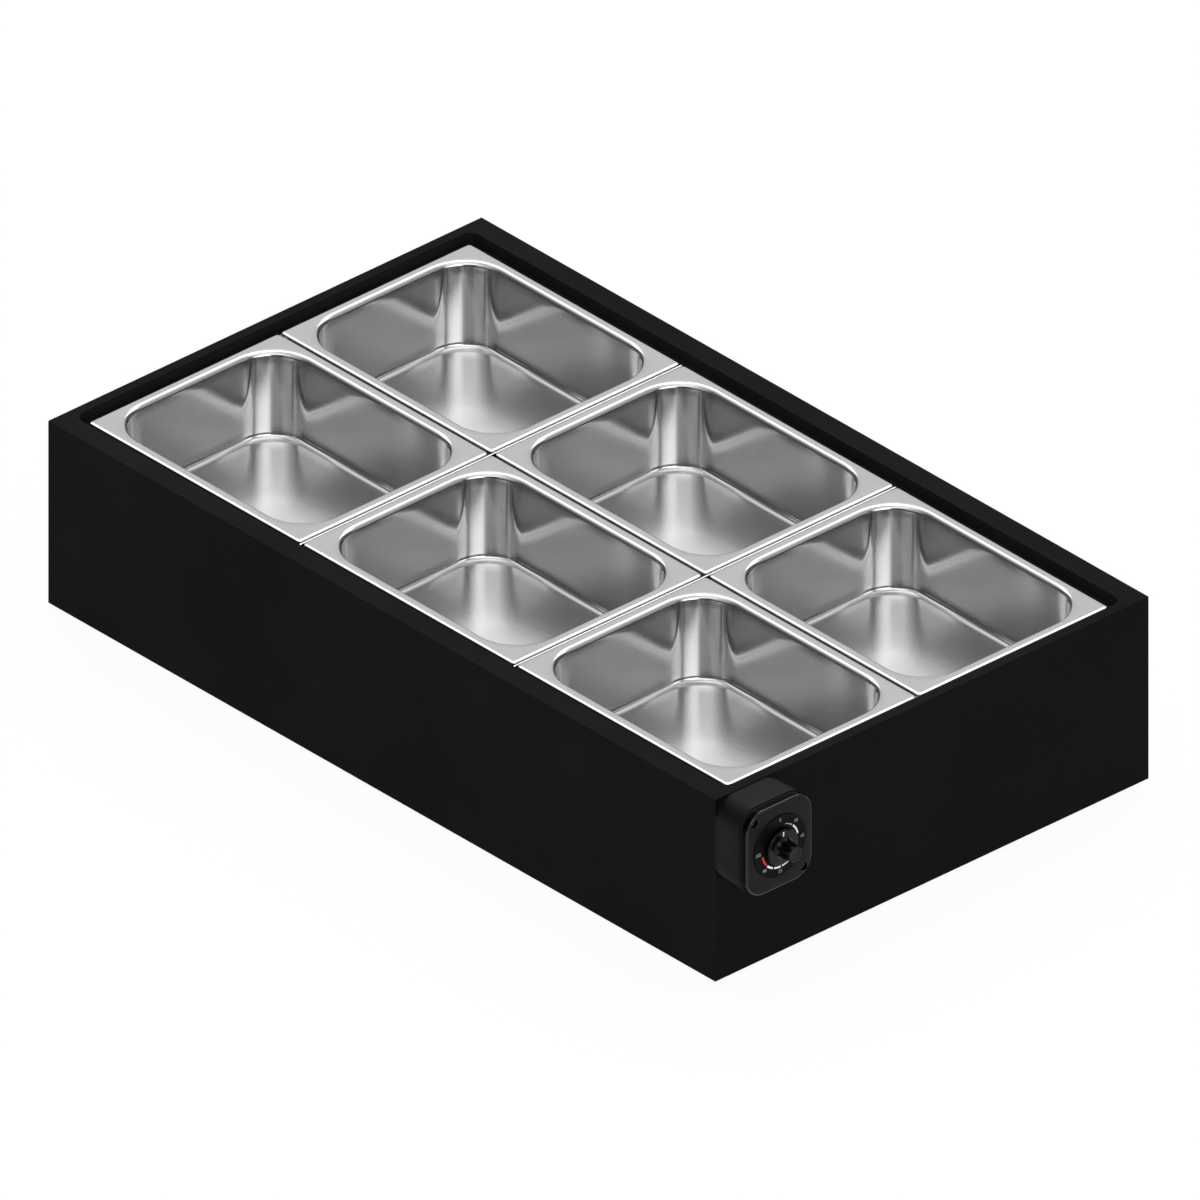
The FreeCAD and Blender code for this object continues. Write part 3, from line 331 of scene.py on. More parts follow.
def sheetSteel(name, colour, roughness, grainScale, grainDepth, grain=(1, 1, 1), spread=0.05, heights=None):
    material, tree, shader = newMaterial(name, colour, 1, roughness)
    clouded(tree, shader, colour, sheetLook, heights)
    fine = noiseOn(tree, grainScale, sheetLook["grainDetail"], stretch=grain)
    setSockets(tree, shader, {"Roughness": toRange(tree, fine, roughness - spread, roughness + spread)})
    bumped(tree, shader, fine, grainDepth, sheetLook["grainHeight"])
    return material


# Pressed pan: polished walls, a satin flange and floor, and faint upright lines where the corners were
# drawn, by distance round the pan
panLook = {"cloudScale": 14, "cloudDetail": 4, "dark": 0.96, "light": 1.03, "lineScale": 190, "lineDetail": 2,
           "lineHeight": 0.00006, "grainScale": 1800, "grainDetail": 2, "grainDepth": 0.04,
           "grainHeight": 0.00001}


def pressedSteel(name, colour, polished, satin):
    material, tree, shader = newMaterial(name, colour, 1, polished)
    clouded(tree, shader, colour, panLook)
    share = addNode(tree, "ShaderNodeAttribute", attribute_name="satin").outputs["Fac"]
    setSockets(tree, shader, {"Roughness": toRange(tree, share, polished, satin, 0, 1)})
    line = noiseOn(tree, panLook["lineScale"], panLook["lineDetail"], "UV", (1, 0, 0))
    drawn = addNode(tree, "ShaderNodeAttribute", attribute_name="drawn").outputs["Fac"]
    normal = bumped(tree, shader, combined(tree, "MULTIPLY", line, drawn), 1, panLook["lineHeight"])
    grain = noiseOn(tree, panLook["grainScale"], panLook["grainDetail"])
    bumped(tree, shader, grain, panLook["grainDepth"], panLook["grainHeight"], normal)
    return material


# Powder coat and moulded plastic: fine orange peel, with a little dust-like change of gloss
coatLook = {"cloudScale": 11, "cloudDetail": 5, "dark": 0.85, "light": 1.25, "peelDetail": 2,
            "peelHeight": 0.00005}


def coated(name, colour, roughness, specular, peelScale, peelDepth, cloudy=0.08, heights=None):
    material, tree, shader = newMaterial(name, colour, 0, roughness, specular)
    cloud = clouded(tree, shader, colour, coatLook, heights)
    setSockets(tree, shader, {"Roughness": toRange(tree, cloud, roughness - cloudy, roughness + cloudy)})
    peel = noiseOn(tree, peelScale, coatLook["peelDetail"])
    bumped(tree, shader, peel, peelDepth, coatLook["peelHeight"])
    return material


woolLook = {"cloudScale": 260, "cloudDetail": 6, "stretch": (1, 1, 4), "dark": 0.5, "light": 1.25,
            "roughness": 0.95, "specular": 0.1, "fibreDepth": 0.9, "fibreHeight": 0.002}


def mineralWool(name, colour):
    material, tree, shader = newMaterial(name, colour, 0, woolLook["roughness"], woolLook["specular"])
    fibre = clouded(tree, shader, colour, woolLook)
    bumped(tree, shader, fibre, woolLook["fibreDepth"], woolLook["fibreHeight"])
    return material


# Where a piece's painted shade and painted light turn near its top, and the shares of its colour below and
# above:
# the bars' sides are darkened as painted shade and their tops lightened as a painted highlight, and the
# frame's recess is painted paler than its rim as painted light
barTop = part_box("cross_bar_left")[1].z
barPaintedShadeAndHighlight = (barTop - 0.0012, barTop - 0.0004, 0.1, 1.3)
recessPaintedLight = (casingHigh.z - 0.0015, casingHigh.z - 0.0005, 3, 1)
# After the colour, sheet has its roughness and the grain's scale, depth and stretch, and a coat has its
# roughness, specular level, the peel's scale and depth, and the change of gloss. The pans' steel has the
# roughness of its polished and its satin parts.
blackCoat = ((0.0035, 0.0035, 0.0037), 0.62, 0.04, 1500, 0.35)
finishes = {
    "stainless": pressedSteel("panSteel", (0.58, 0.58, 0.58), 0.09, 0.22),
    "powder_coat": coated("powderCoat", *blackCoat),
    "bath_steel": sheetSteel("bathSteel", (0.6, 0.605, 0.615), 0.3, 500, 0.3, (1, 12, 12)),
    # Bars: sides darkened as painted shade, tops lightened as a painted highlight
    "bar_steel": sheetSteel("barSteel", (0.7, 0.705, 0.71), 0.22, 600, 0.25, (8, 1, 8), heights=barPaintedShadeAndHighlight),
    "zinc_steel": sheetSteel("zincSteel", (0.56, 0.57, 0.58), 0.36, 400, 0.4, spread=0.1),
    "element_steel": sheetSteel("elementSteel", (0.25, 0.24, 0.24), 0.42, 300, 0.4, spread=0.1),
    "reflector": sheetSteel("reflectorSheet", (0.82, 0.82, 0.83), 0.25, 500, 0.25, (1, 10, 10)),
    "copper": sheetSteel("copperTube", (0.72, 0.4, 0.26), 0.3, 500, 0.3),
    "brass": sheetSteel("turnedBrass", (0.75, 0.58, 0.28), 0.28, 500, 0.3),
    "foot_rubber": coated("footRubber", (0.02, 0.02, 0.02), 0.8, 0.3, 900, 0.5),
    "seal_rubber": coated("sealRubber", (0.012, 0.012, 0.012), 0.7, 0.3, 900, 0.4),
    "ceramic": coated("whiteCeramic", (0.8, 0.78, 0.72), 0.35, 0.5, 700, 0.1),
    "mineral_wool": mineralWool("mineralWool", (0.5, 0.44, 0.3)),
    "box_plastic": coated("boxPlastic", (0.0042, 0.0042, 0.0044), 0.5, 0.07, 1600, 0.3),
    "cover_plastic": coated("coverPlastic", (0.0046, 0.0046, 0.0048), 0.42, 0.1, 1600, 0.25),
    "dial_sheet": coated("dialSheet", (0.0016, 0.0014, 0.0011), 0.4, 0.05, 1200, 0.1),
    "knob_plastic": coated("knobPlastic", (0.0018, 0.0018, 0.002), 0.12, 0.18, 1300, 0.06, 0.03),
    "thermostat_plastic": coated("thermostatPlastic", (0.2, 0.13, 0.08), 0.5, 0.4, 900, 0.2),
    "black_screw": coated("blackScrew", (0.004, 0.004, 0.0042), 0.25, 0.3, 900, 0.1),
    "gland_plastic": coated("glandPlastic", (0.016, 0.016, 0.016), 0.45, 0.4, 1200, 0.25),
}
leadColours = {"brown": (0.13, 0.05, 0.02), "blue": (0.03, 0.09, 0.4), "green": (0.2, 0.42, 0.05),
               "red": (0.4, 0.03, 0.02)}
for tone, colour in leadColours.items():
    finishes["lead_" + tone] = coated("lead" + tone.title(), colour, 0.55, 0.4, 800, 0.2)
for node, item in cadNodes.items():
    for place in item.material_slots:
        place.material = finishes[slotOfNode[node]]
# The frame's recess below its rim has three times the coat's colour, painted light
recessCoat = coated("recessCoat", *blackCoat, heights=recessPaintedLight)
for place in cadNodes["top_frame"].material_slots:
    place.material = recessCoat
print("materials:", len(finishes))


# Sets a new piece on its body, with its slot and the node that it stands for
def placed(piece, body, slot, node=None, material=None):
    piece.data.materials.clear()
    piece.data.materials.append(material or finishes[slot])
    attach(piece, body)
    if node:
        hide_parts(node)


# Pressed trays: the food pans and the water bath

# Steps in each stretch of a tray's profile, and the least radius of its corners
trayMesh = {"lip": 2, "lipRound": 5, "rise": 7, "flange": 5, "shoulder": 8, "wall": 10, "cove": 12,
            "leastRadius": 0.002}


# A pan's outer edge: an upright lip, a small round, and a parabola that rises ever less to the flange.
# It lies under the flange by the fall times the square of the share of its run that is left.
def turnedEdge(tray):
    slope = math.radians(tray["edgeAngle"])
    soft = tray["edgeRound"]
    start = soft * (1 - math.sin(slope))
    run = tray["edgeWidth"] - start
    fall = run * math.tan(slope) / 2
    top = -fall - soft * math.cos(slope)
    corner = bend((soft, top), soft, 180, 90 + tray["edgeAngle"], trayMesh["lipRound"])
    share = np.linspace(0, 1, trayMesh["rise"] + 1)[1:]
    rise = np.stack([start + run * share, -fall * (1 - share) ** 2], axis=1)
    return np.concatenate([straight((0, -tray["lip"]), (0, top), trayMesh["lip"])[:-1], corner, rise])


# What the pans' steel reads: how satin each stretch is, the straight sides more than the corners, and how
# much it shows of the lines that drawing leaves in a corner
def polishOf(tray, counts):
    way = roundTrip(*tray["steps"])[1]
    inCorner = np.abs(2 * way[:, 0] * way[:, 1])[None]
    onStraight = 1 - np.minimum(1, tray["straightFade"] * inCorner)
    satin, straightSatin, drawn = [np.repeat(tray[key], counts)[:, None]
                                   for key in ("satin", "straightSatin", "drawn")]
    return {"satin": satin + straightSatin * onStraight, "drawn": drawn * inCorner}


# A tray as a profile: an edge that may be turned down, a flange, a shoulder, a leaning wall, a round into
# the floor, and the floor, which rises to its middle by the crown times the squared sine of a quarter
# turn's share. The corner radius shrinks as the wall comes in, so every ring has one centre.
def pressedTray(name, node, tray):
    low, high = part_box(node)
    size = (high.x - low.x, high.y - low.y)
    centre = ((low.x + high.x) / 2, (low.y + high.y) / 2, 0)
    depth = high.z - low.z - tray["sheet"]
    across = tray["flange"]
    soft, foot = tray["shoulder"], tray["floorRound"]
    lean = math.degrees(math.atan(tray["lean"]))
    turn = math.tan(math.radians(90 - lean) / 2)
    shoulder = bend((across - soft * turn, -soft), soft, 90, lean, trayMesh["shoulder"])
    floorEdge = across + tray["lean"] * depth + foot * turn
    cove = bend((floorEdge, foot - depth), foot, 180 + lean, 270, trayMesh["cove"])
    floorEnd = size[1] / 2 - tray["flatHalf"]
    floor = straight((floorEdge, -depth), (floorEnd, -depth), tray["floorSteps"])[1:]
    share = (floor[:, 0] - floorEdge) / (floorEnd - floorEdge)
    floor[:, 1] += tray["crown"] * np.sin(share * math.pi / 2) ** 2
    edge = turnedEdge(tray) if tray["lip"] else np.array([(0, 0)])
    flange = straight(edge[-1], shoulder[0], trayMesh["flange"])[1:-1]
    wall = straight(shoulder[-1], cove[0], trayMesh["wall"])[1:-1]
    stretches = (edge, flange, shoulder, wall, cove, floor)
    profile = np.concatenate(stretches)
    inset = profile[:, 0]
    outer = tray["edgeCorner"] - inset
    inner = tray["corner"] + across - inset
    blend = np.clip((inset - edge[-1][0]) / (shoulder[0][0] - edge[-1][0]), 0, 1)
    radius = np.maximum(outer * (1 - blend) + inner * blend, trayMesh["leastRadius"])
    rows = np.column_stack([inset, high.z + profile[:, 1], radius])
    values = polishOf(tray, [len(part) for part in stretches]) if "satin" in tray else None
    piece = roundTray(name, centre, size, rows, tray["steps"], capLast=True, values=values)
    return thickened(piece, tray["sheet"])


# The lean is how far a wall comes in for each metre down, and flatHalf half the short side of the flat
# face in the floor's middle. The last three give a value to each stretch, from the edge to the floor.
pan = {"flange": 0.014, "edgeCorner": 0.005, "corner": 0.05, "lip": 0.005, "edgeRound": 0.0014,
       "edgeWidth": 0.0035, "edgeAngle": 16, "shoulder": 0.005, "lean": 0.03, "floorRound": 0.007,
       "sheet": 0.0008, "crown": 0.0003, "floorSteps": 9, "flatHalf": 0.012, "steps": (16, 14, 12),
       "straightFade": 3, "satin": (0.3, 0.35, 0.2, 0, 0.15, 1), "straightSatin": (0, 0, 0.2, 0.4, 0, 0),
       "drawn": (0, 0, 0.2, 1, 0.4, 0)}
panNodes = sorted(name for name in cadNodes if name.startswith("pan_"))
for node in panNodes:
    piece = pressedTray("foodPan" + node[3:].title().replace("_", ""), node, pan)
    placed(piece, cadNodes[node]["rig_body"], "stainless", node)
print("food pans:", len(panNodes))

bath = {"flange": 0.0095, "edgeCorner": 0.0117, "corner": 0.04, "lip": 0, "shoulder": 0.0008, "lean": 0.0,
        "floorRound": 0.015, "sheet": 0.001, "crown": 0.0004, "floorSteps": 10, "flatHalf": 0.02,
        "steps": (14, 14, 12)}
placed(pressedTray("waterBath", "well_tank", bath), "root", "bath_steel", "well_tank")
print("water bath")

# Control box

boxLow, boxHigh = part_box("control_box_body")
boxCentre = (0, (boxLow.y + boxHigh.y) / 2, (boxLow.z + boxHigh.z) / 2)
boxSize = (boxHigh.y - boxLow.y, boxHigh.z - boxLow.z)
coverLow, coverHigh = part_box("control_box_cover")
dialLow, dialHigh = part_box("dial_plate")
knobLow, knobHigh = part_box("knob")
# A face of the cover is its front where it looks outwards by more than flat, and its side where by less
# than upright. A well stands at each of two opposite corners.
box = {"corner": 0.024, "leastRadius": 0.003, "sideSteps": 3, "mouthRound": 0.0012, "mouthSteps": 5,
       "wall": 0.003, "floorInset": 0.035}
cover = {"gap": 0.0006, "backRound": 0.0008, "backSteps": 4, "sideSteps": 3, "frontRound": 0.002,
         "frontSteps": 8, "faceInset": 0.038, "faceSteps": 4, "flat": 0.98, "upright": 0.05}
well = {"inset": 0.0115, "radius": 0.0045, "depth": 0.0042, "steps": 48, "flare": 0.0005,
        "flareLow": 0.0004, "flareHigh": 0.0001, "cutterHigh": 0.001}
wellAcross = boxSize[0] / 2 - well["inset"]
wellUp = boxSize[1] / 2 - well["inset"]
wellCentres = [(0, boxCentre[1] + side * wellAcross, boxCentre[2] - side * wellUp) for side in (-1, 1)]


# Closed piece of the box from a profile of inset and height, its corners as the inset leaves them
def boxPiece(name, profile):
    radius = np.maximum(box["corner"] - profile[:, 0], box["leastRadius"])
    return roundTray(name, boxCentre, boxSize, np.column_stack([profile, radius]), stand="end", **solid)


# Body of the box: straight side, small round at the mouth, then in and down to its floor
def controlBoxBody():
    soft, wall, floorUp = box["mouthRound"], box["wall"], boxLow.x + box["wall"]
    mouth = bend((soft, boxHigh.x - soft), soft, 180, 90, box["mouthSteps"])
    profile = np.concatenate([straight((0, boxLow.x), mouth[0], box["sideSteps"])[:-1], mouth,
                              [(wall, boxHigh.x), (wall, floorUp), (box["floorInset"], floorUp)]])
    placed(boxPiece("controlBoxBody", profile), "root", "box_plastic", "control_box_body")


# Moulded cover: grained in front, polished round its edge and side; the side's colour is darkened far below
# the cover's as painted shade
polishedEdge = coated("polishedEdge", (0.0055, 0.0055, 0.0058), 0.14, 0.35, 1600, 0.02, 0.02)
# The side's very dark colour is painted shade
polishedSide = coated("polishedSide", (0.0009, 0.0009, 0.001), 0.22, 0.015, 1600, 0.02, 0.02)


# Cover: a shallow cap with a rounded front edge and two round wells for its screws
def controlBoxCover():
    gap, small, soft = cover["gap"], cover["backRound"], cover["frontRound"]
    face = coverHigh.x
    back = bend((gap + small, coverLow.x + small), small, 270, 180, cover["backSteps"])
    front = bend((gap + soft, face - soft), soft, 180, 90, cover["frontSteps"])
    profile = np.concatenate([back, straight(back[-1], front[0], cover["sideSteps"])[1:-1], front,
                              straight(front[-1], (cover["faceInset"], face), cover["faceSteps"])[1:]])
    piece = boxPiece("controlBoxCover", profile)
    narrow, wide = well["radius"], well["radius"] + well["flare"]
    rows = [(narrow, face - well["depth"]), (narrow, face - well["flareLow"]),
            (wide, face + well["flareHigh"]), (wide, face + well["cutterHigh"])]
    wells = [turned("screwWell", centre, rows, well["steps"], **solid) for centre in wellCentres]
    cutAway(piece, merged("screwWells", wells))
    placed(piece, "root", "cover_plastic", "control_box_cover")
    piece.data.materials.append(polishedEdge)
    piece.data.materials.append(polishedSide)
    polygons = piece.data.polygons
    out = vectorsOf(polygons, "center")[:, 0]
    level = vectorsOf(polygons, "normal")[:, 0]
    onEdge = (out > face - soft) & (level < cover["flat"]) & (level > cover["upright"])
    onSide = (np.abs(level) < cover["upright"]) & (out < face - soft / 2)
    polygons.foreach_set("material_index", np.where(onEdge, 1, np.where(onSide, 2, 0)))


# Heights are from the floor of the well
screw = {"radius": 0.0038, "sunk": 0.001, "domeCentre": 0.0026, "domeRound": 0.0012, "domeFoot": 0.0008,
         "domeSteps": 6, "flatRadius": 0.0006, "flatHeight": 0.0021, "steps": 48, "slot": (0.0042, 0.0009),
         "slotRound": 0.0002, "slotLow": 0.0009, "slotHigh": 0.004, "slotSteps": (3, 2, 2)}


# Pan-head screws seen in their wells: a low dome each, with a cross cut into it
def coverScrews():
    seat = coverHigh.x - well["depth"]
    domeCentre = (screw["domeCentre"], seat + screw["domeFoot"])
    dome = bend(domeCentre, screw["domeRound"], 0, 90, screw["domeSteps"])
    rows = np.concatenate([[(screw["radius"], seat - screw["sunk"])], dome,
                           [(screw["flatRadius"], seat + screw["flatHeight"])]])
    rim = [(0, seat + screw[key], screw["slotRound"]) for key in ("slotLow", "slotHigh")]
    heads = []
    for centre in wellCentres:
        head = turned("head", centre, rows, screw["steps"], **solid)
        for size in (screw["slot"], screw["slot"][::-1]):
            cutAway(head, roundTray("slot", centre, size, rim, screw["slotSteps"], "end", **solid))
        heads.append(head)
    placed(merged("coverScrews", heads, sharpFrom["cut"]), "root", "black_screw", "cover_screws")


controlBoxBody()
controlBoxCover()
coverScrews()

dial = {"radius": (dialHigh.y - dialLow.y) / 2, "bore": 0.004, "edge": 0.0004, "faceRing": 0.02, "steps": 128,
        "marks": 0.025, "markWidth": 0.0021, "markPoints": 16, "numbers": 0.0309, "numberSize": 0.0054,
        "print": 0.00012}
inkColours = {"white": (0.78, 0.78, 0.76), "grey": (0.3, 0.29, 0.26), "red": (0.62, 0.02, 0.03)}
inks = {tone: coated(tone + "Ink", colour, 0.55, 0.3, 900, 0.1) for tone, colour in inkColours.items()}
# Clock angles of the marks in degrees from 12 o'clock, with the share of full width at each end
palerMarks = ((45, 77, 1, 1), (137, 148, 1, 1), (153, 174, 1, 1), (179, 200, 1, 1), (205, 226, 1, 1))
greyMarks = ((15, 40, 0.25, 0.9),)
redMarks = ((231, 260, 1, 1),)
dialNumbers = ((0, "0"), (45, "30"), (90, "45"), (135, "60"), (180, "75"), (225, "90"), (270, "105"))


def dialPlate():
    face, radius, edge, bore = dialHigh.x, dial["radius"], dial["edge"], dial["bore"]
    rows = [(bore, dialLow.x), (radius, dialLow.x), (radius, face - edge), (radius - edge, face),
            (radius - 2 * edge, face), (dial["faceRing"], face), (bore, face)]
    piece = turned("dialPlate", boxCentre, rows + rows[:1], dial["steps"])
    placed(piece, "root", "dial_sheet", "dial_plate")


# Printed marks: a flat bar carried along an arc of the dial, as wide at each end as its shares say
def printedArcs(name, marks, ink):
    pieces = []
    for first, last, startShare, endShare in marks:
        share = np.linspace(0, 1, dial["markPoints"])
        angle = np.radians(90 - first - (last - first) * share)
        half = dial["markWidth"] / 2 * (startShare + (endShare - startShare) * share)
        inner, outer = dial["marks"] - half, dial["marks"] + half
        low, high = dialHigh.x - dial["print"] / 2, dialHigh.x + dial["print"]
        radius = np.stack([inner, outer, outer, inner], axis=1)
        height = np.broadcast_to(np.array([low, low, high, high]), radius.shape)
        points = np.stack([radius * np.cos(angle)[:, None], radius * np.sin(angle)[:, None], height], axis=-1)
        pieces.append(gridPiece("mark", stood(points, boxCentre, "end"), **solid))
    placed(merged(name, pieces), "root", "dial_sheet", material=ink)


# A number as flat text, made a mesh before it is set on the dial, upright
def printedNumber(words, angle):
    curve = bpy.data.curves.new("number", "FONT")
    curve.body = words
    curve.size = dial["numberSize"]
    curve.align_x = "CENTER"
    curve.align_y = "CENTER"
    curve.extrude = dial["print"] / 2
    holder = bpy.data.objects.new("number", curve)
    bpy.context.scene.collection.objects.link(holder)
    mesh = bpy.data.meshes.new_from_object(holder.evaluated_get(bpy.context.evaluated_depsgraph_get()))
    bpy.data.objects.remove(holder)
    turnAngle = math.radians(90 - angle)
    centre = (dialHigh.x + dial["print"] / 2, boxCentre[1] + dial["numbers"] * math.cos(turnAngle),
              boxCentre[2] + dial["numbers"] * math.sin(turnAngle))
    mesh.vertices.foreach_set("co", stood(vectorsOf(mesh.vertices, "co"), centre, "end").ravel())
    return finishedPiece("number", mesh)


dialPlate()
printedArcs("dialMarksWhite", palerMarks, inks["white"])
printedArcs("dialMarkGrey", greyMarks, inks["grey"])
printedArcs("dialMarkRed", redMarks, inks["red"])
numbers = [printedNumber(words, angle) for angle, words in dialNumbers]
placed(merged("dialNumbers", numbers), "root", "dial_sheet", material=inks["grey"])

knob = {"skirtRadius": 0.0205, "skirt": 0.0045, "skirtChamfer": 0.0006, "edge": 0.0015, "gripBase": 0.0108,
        "gripEnd": 0.0094, "root": 0.0025, "nose": 0.0012, "arcSteps": 6, "gripSteps": 10, "steps": 192,
        "bore": 0.00305, "boreCap": 0.0005, "wallOverShaft": 0.0025, "dish": 0.0005, "dishRadius": 0.006,
        "dishFlat": 0.003, "dishCap": 0.0006, "dishShare": 0.6}
flute = {"count": 8, "radius": 0.006, "depth": 0.0011, "startShare": 0.6, "rise": 0.002, "taperLength": 0.018,
         "beyondGrip": 0.0015, "beyondBore": 0.001, "far": 1}
knobIndex = {"width": 0.0016, "length": 0.0058, "rise": 0.0002, "sunk": 0.0003, "endFlat": 0.0001,
             "chamfer": 0.00015, "steps": (6, 2, 2)}


# A flute takes the grip's radius down to where a ray from the axis meets a round bar that stands beside
# the grip: the bar's distance times the cosine of its angle from the ray, less the root of the bar's
# radius squared less the square of its distance times the sine. A ray that misses the bar meets it far
# off and cuts nothing. The bar leans in as the grip tapers. Over the skirt the cut grows by three times
# the square of the share risen, less twice its cube.
def fluted(radius, height, angle):
    step = 2 * math.pi / flute["count"]
    offset = (angle + step / 2) % step - step / 2
    reach = knob["gripBase"] + flute["radius"] - flute["depth"]
    inside = np.maximum(flute["radius"] ** 2 - (reach * np.sin(offset)) ** 2, 0)
    meets = np.where(inside > 0, reach * np.cos(offset) - np.sqrt(inside), flute["far"])
    start = knobLow.x + knob["skirt"] + knob["root"] * flute["startShare"]
    rise = np.clip((height - start) / flute["rise"], 0, 1)
    rise = rise * rise * (3 - 2 * rise)
    taper = (height - start) * (knob["gripEnd"] - knob["gripBase"]) / flute["taperLength"]
    cut = np.minimum(radius, meets + taper)
    onGrip = (radius < knob["gripBase"] + flute["beyondGrip"]) & (radius > knob["bore"] + flute["beyondBore"])
    return np.where(onGrip, radius * (1 - rise) + cut * rise, radius)


# Knob: a round skirt, and a tapering grip with a shallow dish in its end
def controlKnob():
    low, face = knobLow.x, knobHigh.x
    top = low + knob["skirt"]
    shaftTop = face - knob["wallOverShaft"]
    skirt, chamfer, steps = knob["skirtRadius"], knob["skirtChamfer"], knob["arcSteps"]
    bore = [(knob["boreCap"], shaftTop), (knob["bore"], shaftTop), (knob["bore"], low)]
    edge = bend((skirt - knob["edge"], top - knob["edge"]), knob["edge"], 0, 90, steps)
    root = bend((knob["gripBase"] + knob["root"], top + knob["root"]), knob["root"], 270, 180, steps)
    nose = bend((knob["gripEnd"] - knob["nose"], face - knob["nose"]), knob["nose"], 0, 90, steps)
    grip = straight(root[-1], nose[0], knob["gripSteps"])[1:-1]
    dish = [(knob["dishRadius"], face - knob["dish"] * knob["dishShare"]),
            (knob["dishFlat"], face - knob["dish"]), (knob["dishCap"], face - knob["dish"])]
    profile = np.concatenate([bore, [(skirt - chamfer, low), (skirt, low + chamfer)], edge, root, grip, nose,
                              dish])
    piece = turned("controlKnob", boxCentre, profile, knob["steps"], fluted, smoothAngle=sharpFrom["knob"],
                   **solid)
    placed(piece, "dial_knob", "knob_plastic", "knob")


# White index mark on the knob's skirt
def indexMark():
    top = knobLow.x + knob["skirt"]
    size = (knobIndex["width"], knobIndex["length"])
    middleUp = boxCentre[2] + knob["skirtRadius"] - knob["edge"] - knobIndex["length"] / 2
    soft, chamfer = knobIndex["width"] / 2 - knobIndex["endFlat"], knobIndex["chamfer"]
    rows = [(0, top - knobIndex["sunk"], soft), (0, top + knobIndex["rise"] / 2, soft),
            (chamfer, top + knobIndex["rise"], soft - chamfer)]
    centre = (0, boxCentre[1], middleUp)
    index = roundTray("knobIndex", centre, size, rows, knobIndex["steps"], "end", **solid)
    placed(index, "dial_knob", "knob_plastic", material=inks["white"])


controlKnob()
indexMark()
print("control box, dial and knob")

# Cable gland at the rear

glandLow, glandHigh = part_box("cable_gland")
gland = {"collarAcross": 0.024, "collar": 0.006, "collarSteps": 96, "chamfer": 0.0012, "chamferShare": 0.6,
         "thread": 0.0098, "bore": 0.005, "seam": 0.0001, "capSeam": 0.0002, "capRadius": 0.0112,
         "capTaper": 0.003, "capChamfer": 0.0006, "capRows": 8, "capSteps": 216, "noseRound": 0.003,
         "noseAngle": 80, "noseSteps": 6, "ribs": 18, "ribDepth": 0.0006, "ribPower": 3, "beyondBore": 0.0015}


# Hexagon whose corners a cone turns off at both ends: half the width across, over the cosine of the
# angle from the middle of the nearest flat
def hexagonal(radius, height, angle):
    flat = (angle + math.pi / 6) % (math.pi / 3) - math.pi / 6
    return np.minimum(radius, gland["collarAcross"] / 2 / np.cos(flat))


# Grooves between the cap's ribs: the radius less the depth times a power of the wave, which is half of
# one plus the cosine of the angle times their number
def ribbed(radius, height, angle):
    wave = 0.5 + 0.5 * np.cos(angle * gland["ribs"])
    onCap = radius > gland["bore"] + gland["beyondBore"]
    return radius - gland["ribDepth"] * wave ** gland["ribPower"] * onCap


def cableGland():
    centre = ((glandLow.x + glandHigh.x) / 2, 0, (glandLow.z + glandHigh.z) / 2)
    panel, bore, chamfer = casingHigh.y, gland["bore"], gland["chamfer"]
    corner = gland["collarAcross"] / math.sqrt(3)
    collarEnd = panel + gland["collar"]
    collarRows = [(bore, glandLow.y), (gland["thread"], glandLow.y), (gland["thread"], panel + gland["seam"]),
                  (corner - chamfer, panel + gland["seam"]),
                  (corner, panel + chamfer * gland["chamferShare"]),
                  (corner, collarEnd - chamfer * gland["chamferShare"]),
                  (corner - chamfer, collarEnd), (bore, collarEnd), (bore, glandLow.y)]
    collar = turned("glandCollar", centre, collarRows, gland["collarSteps"], hexagonal, "rear")
    start, end = collarEnd + gland["capSeam"], glandHigh.y
    radius, small, soft = gland["capRadius"], gland["capChamfer"], gland["noseRound"]
    nose = bend((radius - gland["capTaper"] - soft, end - soft), soft, 0, gland["noseAngle"],
                gland["noseSteps"])
    side = straight((radius, start + small), nose[0], gland["capRows"])[:-1]
    capRows = np.concatenate([[(bore, start), (radius - small, start)], side, nose,
                              [(bore + small, end - gland["seam"]), (bore, end - small), (bore, start)]])
    cap = turned("glandCap", centre, capRows, gland["capSteps"], ribbed, "rear")
    placed(merged("cableGland", [collar, cap]), "root", "gland_plastic", "cable_gland")


cableGland()
print("cable gland")

# Floor, light and camera

ground = {"half": 40, "grey": 0.95, "white": 0.95}
corners = [(x * ground["half"], y * ground["half"], 0) for x, y in ((-1, -1), (1, -1), (1, 1), (-1, 1))]
floorMesh = bpy.data.meshes.new("floor")
floorMesh.from_pydata(corners, [], [(0, 1, 2, 3)])
floor = bpy.data.objects.new("floor", floorMesh)
bpy.context.scene.collection.objects.link(floor)


# 1 for the camera's rays and for what shiny and clear surfaces show, 0 for light that falls on dull ones
def seenRay(tree):
    path = addNode(tree, "ShaderNodeLightPath").outputs
    shown = combined(tree, "MAXIMUM", path["Is Camera Ray"], path["Is Glossy Ray"])
    return combined(tree, "MAXIMUM", shown, path["Is Transmission Ray"])


# The floor keeps the object's shadow, and shows the camera and the metal a part of plain white over it
def floorPaint():
    material = bpy.data.materials.new("floorPaint")
    material.use_nodes = True
    tree = material.node_tree
    tree.nodes.clear()
    paint = addNode(tree, "ShaderNodeBsdfDiffuse", {"Color": (*[ground["grey"]] * 3, 1)})
    white = addNode(tree, "ShaderNodeEmission", {"Strength": 1})
    share = combined(tree, "MULTIPLY", seenRay(tree), ground["white"])
    mix = addNode(tree, "ShaderNodeMixShader", {"Fac": share, 1: paint.outputs[0], 2: white.outputs[0]})
    addNode(tree, "ShaderNodeOutputMaterial", {"Surface": mix.outputs[0]})
    return material


